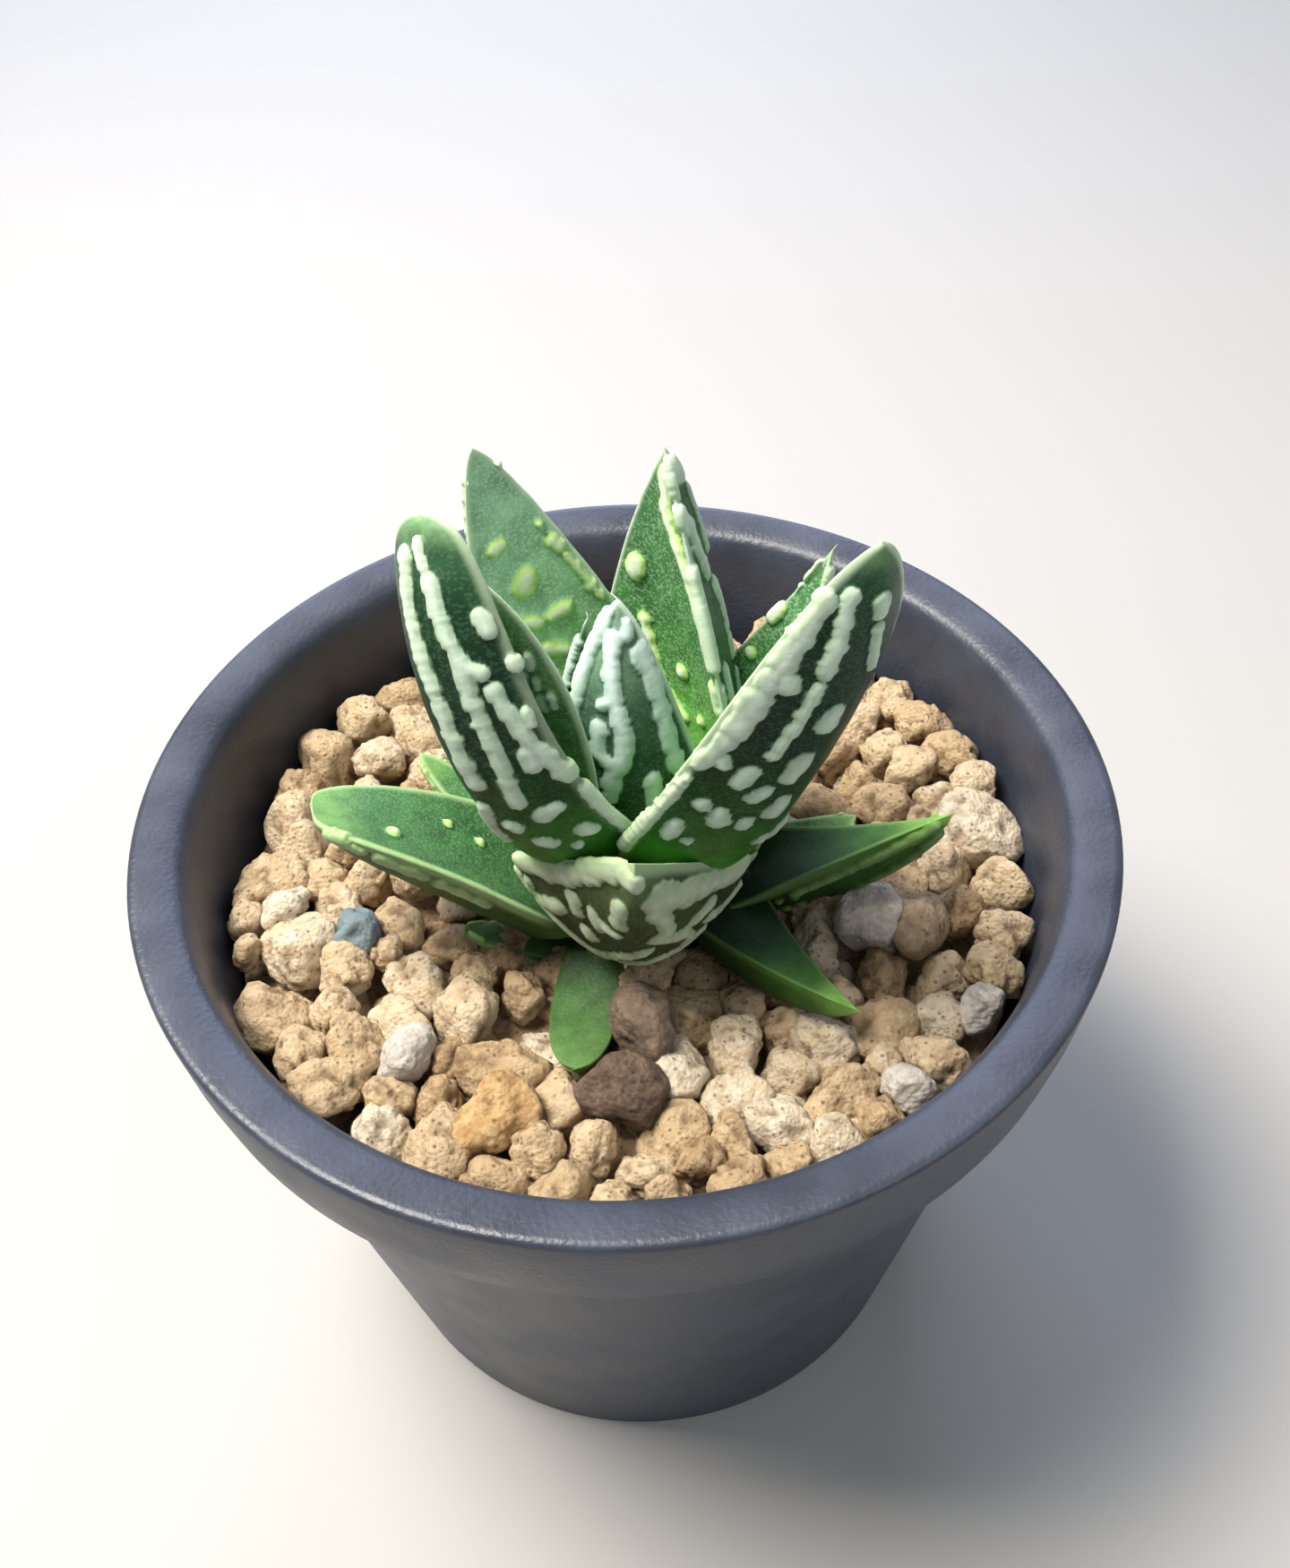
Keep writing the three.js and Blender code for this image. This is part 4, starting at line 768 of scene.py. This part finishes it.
# mm; neck and collar: radius where the collar meets the wall, and the collar's height
pot = {"rim": 60.0, "mouth": 53.8, "neck": 54.2, "collar": 14, "wall": 2.0, "foot": 42.0,
       "footWidth": 4.0, "footDepth": 2.0, "holeRadius": 2.5, "holeCircle": 27.0, "ringHoles": 8,
       "sides": 160}
rim, mouth, foot, high = pot["rim"], pot["mouth"], pot["foot"], potHeight
footInside, footDepth = foot - pot["footWidth"], pot["footDepth"]
outerAt = lambda z: foot + (pot["neck"] - foot) * z / (high - pot["collar"])
potProfile = [
    (0.3, footDepth), (footInside, footDepth), (footInside, 0.3), (footInside + 0.3, 0),
    (foot - 0.4, 0), (foot, 0.4), (outerAt(30), 30), (outerAt(high - 14.2), high - 14.2),
    (rim - 2.0, high - 14), (rim - 1.6, high - 13.6), (rim - 0.7, high - 8),
    (rim - 0.05, high - 1.0), (rim - 0.12, high - 0.4), (rim - 0.5, high - 0.05),
    (rim - 1.2, high - 0.1), (rim - 2.6, high - 0.28), (rim - 4.0, high - 0.5),
    (mouth + 1.2, high - 0.82), (mouth + 0.5, high - 1.15), (mouth + 0.05, high - 1.75),
    (mouth - 0.35, high - 2.6), (mouth - 0.9, high - 4.2), (mouth - 2, high - 14),
    (outerAt(30) - pot["wall"], 30), (foot - pot["wall"], 4.0), (0.3, 4.0)]
potMaterial = plasticMaterial({"name": "mouldedPolypropylene",
                               "stops": [(0.3, "#292d38"), (0.7, "#3b414f")]})
potRings = refineProfile(potProfile, 4.0)
potPoints = lathePoints(potRings, pot["sides"])
potBody = makePiece("pot_moulded", potPoints, tubeFaces(len(potRings), pot["sides"]), {},
                    potMaterial, "pot")
# the drain holes: upright rods cut out of the floor
holeAngles = 2 * np.pi * np.arange(pot["ringHoles"]) / pot["ringHoles"]
holePlaces = [(0.0, 0.0)] + [(pot["holeCircle"] * np.cos(a), pot["holeCircle"] * np.sin(a))
                             for a in holeAngles]
rodPoints = lathePoints([(pot["holeRadius"], -3), (pot["holeRadius"], 8)], 32)
rodFaces = tubeFaces(2, 32)
holePoints = np.concatenate([rodPoints + np.array([x, y, 0]) for x, y in holePlaces])
holeMesh = bpy.data.meshes.new("drainHoles")
holeMesh.from_pydata((holePoints * mm).tolist(), [], [
    tuple(int(v) + k * len(rodPoints) for v in side)
    for k in range(len(holePlaces)) for part in rodFaces for side in part])
holeObject = addObject("drainHoles", holeMesh)
cut = potBody.modifiers.new("drain", "BOOLEAN")
cut.object, cut.operation, cut.solver = holeObject, "DIFFERENCE", "EXACT"
finished = bpy.data.meshes.new_from_object(
    potBody.evaluated_get(bpy.context.evaluated_depsgraph_get()))
potBody.modifiers.clear()
potBody.data = finished
bpy.data.objects.remove(holeObject)
print("pot built")

# stones


# Rounded block: radius along v is (sum of max(v . n / h, 0)^p)^(-1/p) over its planes
def blockRadius(v, normals, heights, power):
    push = np.maximum(v @ normals.T, 0) / heights
    return (push ** power).sum(axis=-1) ** (-1 / power)


# at and size in mm, turn in degrees; more planes and a lower power make a rounder stone
bedTop = potHeight - 12
stones = {
    "stone_white_front": dict(
        at=(-27.1, -27.4), size=(4.8, 2.7, 3), turn=60, look="white", planes=12, power=16),
    "stone_slate": dict(
        at=(-34.4, -9.2), size=(2.9, 3.4, 3), turn=20, look="slate", planes=9, power=14),
    "stone_grey_angular": dict(
        at=(29.8, -12.4), size=(4.7, 4.4, 4.2), turn=30, look="grey", planes=10, power=16),
    "stone_grey_round": dict(
        at=(35.2, -13.9), size=(5, 5.3, 5), turn=0, look="tan", planes=24, power=6),
    "stone_pumice": dict(
        at=(-2.8, -34.6), size=(5.4, 4.4, 4.4), turn=5, look="pumice", planes=16, power=8),
    "stone_long": dict(
        at=(0.3, -24.8), size=(3.9, 6, 5), turn=10, look="brown", planes=12, power=10),
    "stone_white_right": dict(
        at=(30.1, -36.8), size=(3.1, 2.4, 3), turn=130, look="white", planes=11, power=16),
    "stone_white_sliver": dict(
        at=(40.7, -26.3), size=(3, 2.4, 3), turn=60, look="white", planes=11, power=16),
    "stone_ochre": dict(
        at=(-16.8, -37), size=(5.3, 4.6, 4.6), turn=50, look="ochre", planes=18, power=8),
}
stoneLooks = {
    "white": {
        "name": "whiteMarbleChip", "mottle": 420, "spread": 0.35, "pores": 500, "poreShade": 0.15,
        "grain": 1000, "bump": 0.8, "pitShade": "#857c73",
        "stops": [(0, "#90867b"), (0.4, "#beb5a9"), (1, "#e4ded5")]},
    "slate": {
        "name": "bluishSlate", "mottle": 300, "spread": 0.3, "pores": 600, "poreShade": 0.2,
        "grain": 1400, "bump": 0.5, "pitShade": "#4d5c60",
        "stops": [(0, "#56666a"), (1, "#839294")]},
    "grey": {
        "name": "brokenGranite", "mottle": 700, "spread": 0.4, "pores": 700, "poreShade": 0.3,
        "grain": 1300, "bump": 0.7, "pitShade": "#5d5652",
        "stops": [(0, "#a09388"), (0.5, "#c0b5a9"), (1, "#ddd3c8")]},
    "tan": {
        "name": "greyTanPebble", "mottle": 600, "spread": 0.35, "pores": 700, "poreShade": 0.6,
        "grain": 1100, "bump": 0.8, "pitShade": "#6e5a45",
        "stops": [(0, "#8b755b"), (0.5, "#ab9272"), (1, "#c9b497")]},
    "pumice": {
        "name": "darkPumice", "mottle": 500, "spread": 0.4, "pores": 650, "poreShade": 0.9,
        "grain": 900, "bump": 1.0, "pitShade": "#3a2a20",
        "stops": [(0, "#46362a"), (0.5, "#6d5949"), (1, "#8f7a68")]},
    "brown": {
        "name": "greyBrownGravel", "mottle": 350, "spread": 0.4, "pores": 600, "poreShade": 0.5,
        "grain": 900, "bump": 0.8, "pitShade": "#4f4236",
        "stops": [(0, "#5f5042"), (0.5, "#7f6c5a"), (1, "#9c8974")]},
    "ochre": {
        "name": "ochreClay", "mottle": 450, "spread": 0.4, "pores": 650, "poreShade": 0.7,
        "grain": 900, "bump": 0.9, "pitShade": "#6b4422",
        "stops": [(0, "#a87f4f"), (0.5, "#c8a471"), (1, "#dcc092")]},
}
stoneSunk, stoneDent = 0.6, 0.4  # mm
stoneSkins = {key: stoneMaterial(look) for key, look in stoneLooks.items()}
ballVerts, ballTris = roundMesh(4)
for seed, (name, stone) in enumerate(stones.items(), 1):
    draw = np.random.default_rng(seed)
    normals = unit(draw.normal(size=(stone["planes"], 3)))
    heights = draw.uniform(0.72, 1.0, stone["planes"])
    radius = np.minimum(blockRadius(ballVerts, normals, heights, stone["power"]), 1.12)
    shape = ballVerts * radius[:, None] * np.array(stone["size"])
    dents = layeredNoise(shape / 2.0, 3, seed)
    shape = shape + ballVerts * (stoneDent * dents)[:, None]
    a = np.radians(stone["turn"])
    spin = np.array([[np.cos(a), np.sin(a), 0], [-np.sin(a), np.cos(a), 0], [0, 0, 1]])
    shape = shape @ spin + np.array([*stone["at"], bedTop - stoneSunk])
    # painted shade: each stone is darker in its dents
    makePiece(name + "_chip", shape, [ballTris],
              {"tone": np.full(len(shape), 0.5), "pitShade": smooth(0.3, 1.1, -dents) * 0.6},
              stoneSkins[stone["look"]], name)
print("stones built:", len(stones))

# clay granules

# mm: radius, its spread (of its logarithm) and limits; reach, the wall's inner radius; bedRadius,
# which the granules fill; lift, mound and uneven: height of the tops over the bed, what it gains
# by the wall, and its scatter; lump, dent and crease: their heights and depth. Fillers are small
# ones that close the gaps further down.
clay = {"count": 188, "radius": 3.5, "spread": 0.18, "limits": (2.5, 5.1), "reach": 51.6,
        "bedRadius": 48.8, "lift": 0.2, "mound": 1.8, "uneven": 1.3, "lump": 0.34, "dent": 0.3,
        "crease": 0.4, "seed": 11}
fillers = {"count": 240, "limits": (2.5, 3.9), "reach": 47.5, "drop": 5.0, "uneven": 1.2}
clayMaterial = stoneMaterial({
    "name": "bakedClayGranule", "mottle": 520, "spread": 0.22, "pores": 900, "poreShade": 0.75,
    "grain": 1100, "bump": 1.0, "pitShade": "#6b4e30",
    "stops": [(0, "#ad8e68"), (0.25, "#c8ab83"), (0.55, "#ddc39c"), (0.8, "#e8d3b2"),
              (1, "#f2e5cc")]})
# touch and stoneTouch: share of two radii at which granules, or one and a stone, touch; step and
# stoneStep: share of an overlap undone in a round; wall: share of its radius kept to the wall
settling = {"rounds": 80, "touch": 0.98, "step": 0.25, "stoneTouch": 0.95, "stoneStep": 0.6,
            "wall": 1.08}
# mm: a half-buried leaf holds granules down only above its floor, and no leaf point above lowLeaf
# does; leafGap is kept clear under leaves, and noLeaf is the room where none hangs over
leafFloors = {"leaf_under_left": bedTop - 1}
lowLeaf, leafGap, noLeaf = 92, 0.4, 200


# sum of the pushes on each spot, away from others nearer than touch times both radii
def pushApart(spots, radii, others, otherRadii, touch):
    delta = spots[:, None] - others[None]
    gap = np.linalg.norm(delta, axis=2) + 1e-6
    lack = np.maximum(touch * (radii[:, None] + otherRadii[None]) - gap, 0)
    return (delta / gap[..., None] * lack[..., None]).sum(axis=1)


# pairs that overlap push each other apart, stones stay, and the wall holds them in
def settle(spots, radii, fixed, fixedRadii):
    for _ in range(settling["rounds"]):
        shift = pushApart(spots, radii, spots, radii, settling["touch"]) * settling["step"]
        aside = pushApart(spots, radii, fixed, fixedRadii, settling["stoneTouch"])
        spots = spots + shift + aside * settling["stoneStep"]
        far = np.linalg.norm(spots, axis=1)
        limit = clay["reach"] - settling["wall"] * radii
        spots = spots * np.minimum(1, limit / np.maximum(far, 1e-6))[:, None]
    return spots


# highest top of a dome of each radius at each spot that stays leafGap mm under every leaf point
def roomUnderLeaves(spots, radii):
    leafCloud = np.concatenate([points[points[:, 2] > leafFloors.get(name, 0)][::7]
                                for name, points in allLeafPoints.items()])
    leafCloud = leafCloud[leafCloud[:, 2] < lowLeaf]
    flat = np.linalg.norm(spots[:, None] - leafCloud[None, :, :2], axis=2) / radii[:, None]
    dome = radii[:, None] * (1 - np.sqrt(np.maximum(0, 1 - flat ** 2)))
    room = np.where(flat < 1.05, leafCloud[None, :, 2] + dome - leafGap, noLeaf)
    return room.min(axis=1)


# granules as rounded blocks with lumps of about 3 mm and dents of about 1 mm
def makeGranules(name, spots, radii, tops, level, seed):
    draw = np.random.default_rng(seed)
    verts, tris = roundMesh(level)
    count = len(spots)
    turns = np.linalg.qr(draw.normal(size=(count, 3, 3)))[0]
    stretch = draw.uniform(0.84, 1.12, size=(count, 1, 3))
    normals = unit(draw.normal(size=(count, 12, 3)))
    heights = draw.uniform(0.8, 1.08, size=(count, 1, 12))
    push = np.maximum(np.einsum("vk,cpk->cvp", verts, normals), 0) / heights
    block = np.minimum((push ** 5).sum(axis=2) ** (-1 / 5), 1.25)
    block = block / block.mean(axis=1, keepdims=True)
    shape = verts[None] * block[..., None] * stretch * radii[:, None, None]
    offset = 40 * draw.uniform(size=(count, 1, 3))
    lumps = layeredNoise(shape / 2.6 + offset, 2, seed)
    dents = layeredNoise(shape / 0.9 + offset, 2, seed + 9)
    creases = 1 - np.abs(cellNoise(shape / 1.7 + offset, seed + 4)) * 3
    relief = clay["lump"] * lumps + clay["dent"] * dents
    relief = relief - clay["crease"] * np.maximum(creases, 0)
    shape = shape + verts[None] * relief[..., None]
    shape = np.einsum("cvk,ckl->cvl", shape, turns)
    height = shape[..., 2].max(axis=1)
    centre = np.concatenate([spots, (tops - height)[:, None]], axis=1)
    points = (shape + centre[:, None]).reshape(-1, 3)
    faces = (tris[None] + len(verts) * np.arange(count)[:, None, None]).reshape(-1, 3)
    tone = np.repeat(np.clip(draw.normal(0.52, 0.2, count), 0.08, 0.95), len(verts))
    # painted shade: each granule is darker in its dents and creases
    pitShade = smooth(0.05, 0.75, -relief).ravel() * 0.8
    makePiece(name, points, [faces], {"tone": tone, "pitShade": pitShade}, clayMaterial,
              "granule_bed")


draw = np.random.default_rng(clay["seed"])
order = np.arange(clay["count"])
angle = golden * order + draw.uniform(-0.3, 0.3, clay["count"])
away = clay["bedRadius"] * np.sqrt((order + 0.5) / clay["count"])
spots = np.stack([away * np.cos(angle), away * np.sin(angle)], axis=1)
radii = clay["radius"] * np.exp(draw.normal(0, clay["spread"], clay["count"]))
radii = np.clip(radii, *clay["limits"])
stoneSpots = np.array([stone["at"] for stone in stones.values()])
stoneRadii = np.array([0.8 * np.mean(stone["size"][:2]) for stone in stones.values()])
spots = settle(spots, radii, stoneSpots, stoneRadii)
mound = clay["mound"] * (np.linalg.norm(spots, axis=1) / clay["bedRadius"]) ** 3
uneven = draw.uniform(-clay["uneven"], clay["uneven"], clay["count"])
tops = bedTop + clay["lift"] + mound + uneven
tops = np.minimum(tops, roomUnderLeaves(spots, radii))
half = clay["count"] // 2
makeGranules("granules_first", spots[:half], radii[:half], tops[:half], 3, 21)
makeGranules("granules_second", spots[half:], radii[half:], tops[half:], 3, 22)
angle = draw.uniform(0, 2 * np.pi, fillers["count"])
away = fillers["reach"] * np.sqrt(draw.uniform(0, 1, fillers["count"]))
spots = np.stack([away * np.cos(angle), away * np.sin(angle)], axis=1)
radii = draw.uniform(*fillers["limits"], fillers["count"])
uneven = draw.uniform(-fillers["uneven"], fillers["uneven"], fillers["count"])
tops = np.minimum(bedTop - fillers["drop"] + uneven, roomUnderLeaves(spots, radii))
makeGranules("granules_below", spots, radii, tops, 1, 23)

# the solid fill below the granules, whose top is a little uneven
fill = {"bottom": 4.35, "foot": 39.6, "wallGap": 2.4, "top": 71.5, "radius": 50.2, "sides": 120,
        "rough": 0.7}
fillProfile = [(0.3, fill["bottom"]), (fill["foot"], fill["bottom"]),
               (outerAt(30) - fill["wallGap"], 30), (fill["radius"], fill["top"]),
               (0.3, fill["top"])]
fillRings = refineProfile(fillProfile, 2.5)
fillPoints = lathePoints(fillRings, fill["sides"])
rough = fill["rough"] * cellNoise(fillPoints / 3.0, 3)
fillPoints[:, 2] += np.where(fillPoints[:, 2] > fill["top"] - 0.5, rough, 0)
# painted shade: the fill shows only in the gaps between granules, so it is given a low tone and an
# even dark mix
makePiece("clay_fill", fillPoints, tubeFaces(len(fillRings), fill["sides"]),
          {"tone": np.full(len(fillPoints), 0.25), "pitShade": np.full(len(fillPoints), 0.4)},
          clayMaterial, "granule_bed")

# the hidden stem keeps its solid and takes a woody skin
stemMaterial = stoneMaterial({
    "name": "corkyStem", "mottle": 300, "spread": 0.4, "pores": 500, "poreShade": 0.4,
    "grain": 900, "bump": 0.8, "pitShade": "#3f3222", "stops": [(0, "#6b5a3c"), (1, "#9a8a63")]})
stem = nodes["stem"]
if stem.material_slots:
    for place in stem.material_slots:
        place.link, place.material = "OBJECT", stemMaterial
else:
    stem.data.materials.append(stemMaterial)
print("granules built:", clay["count"] + fillers["count"])
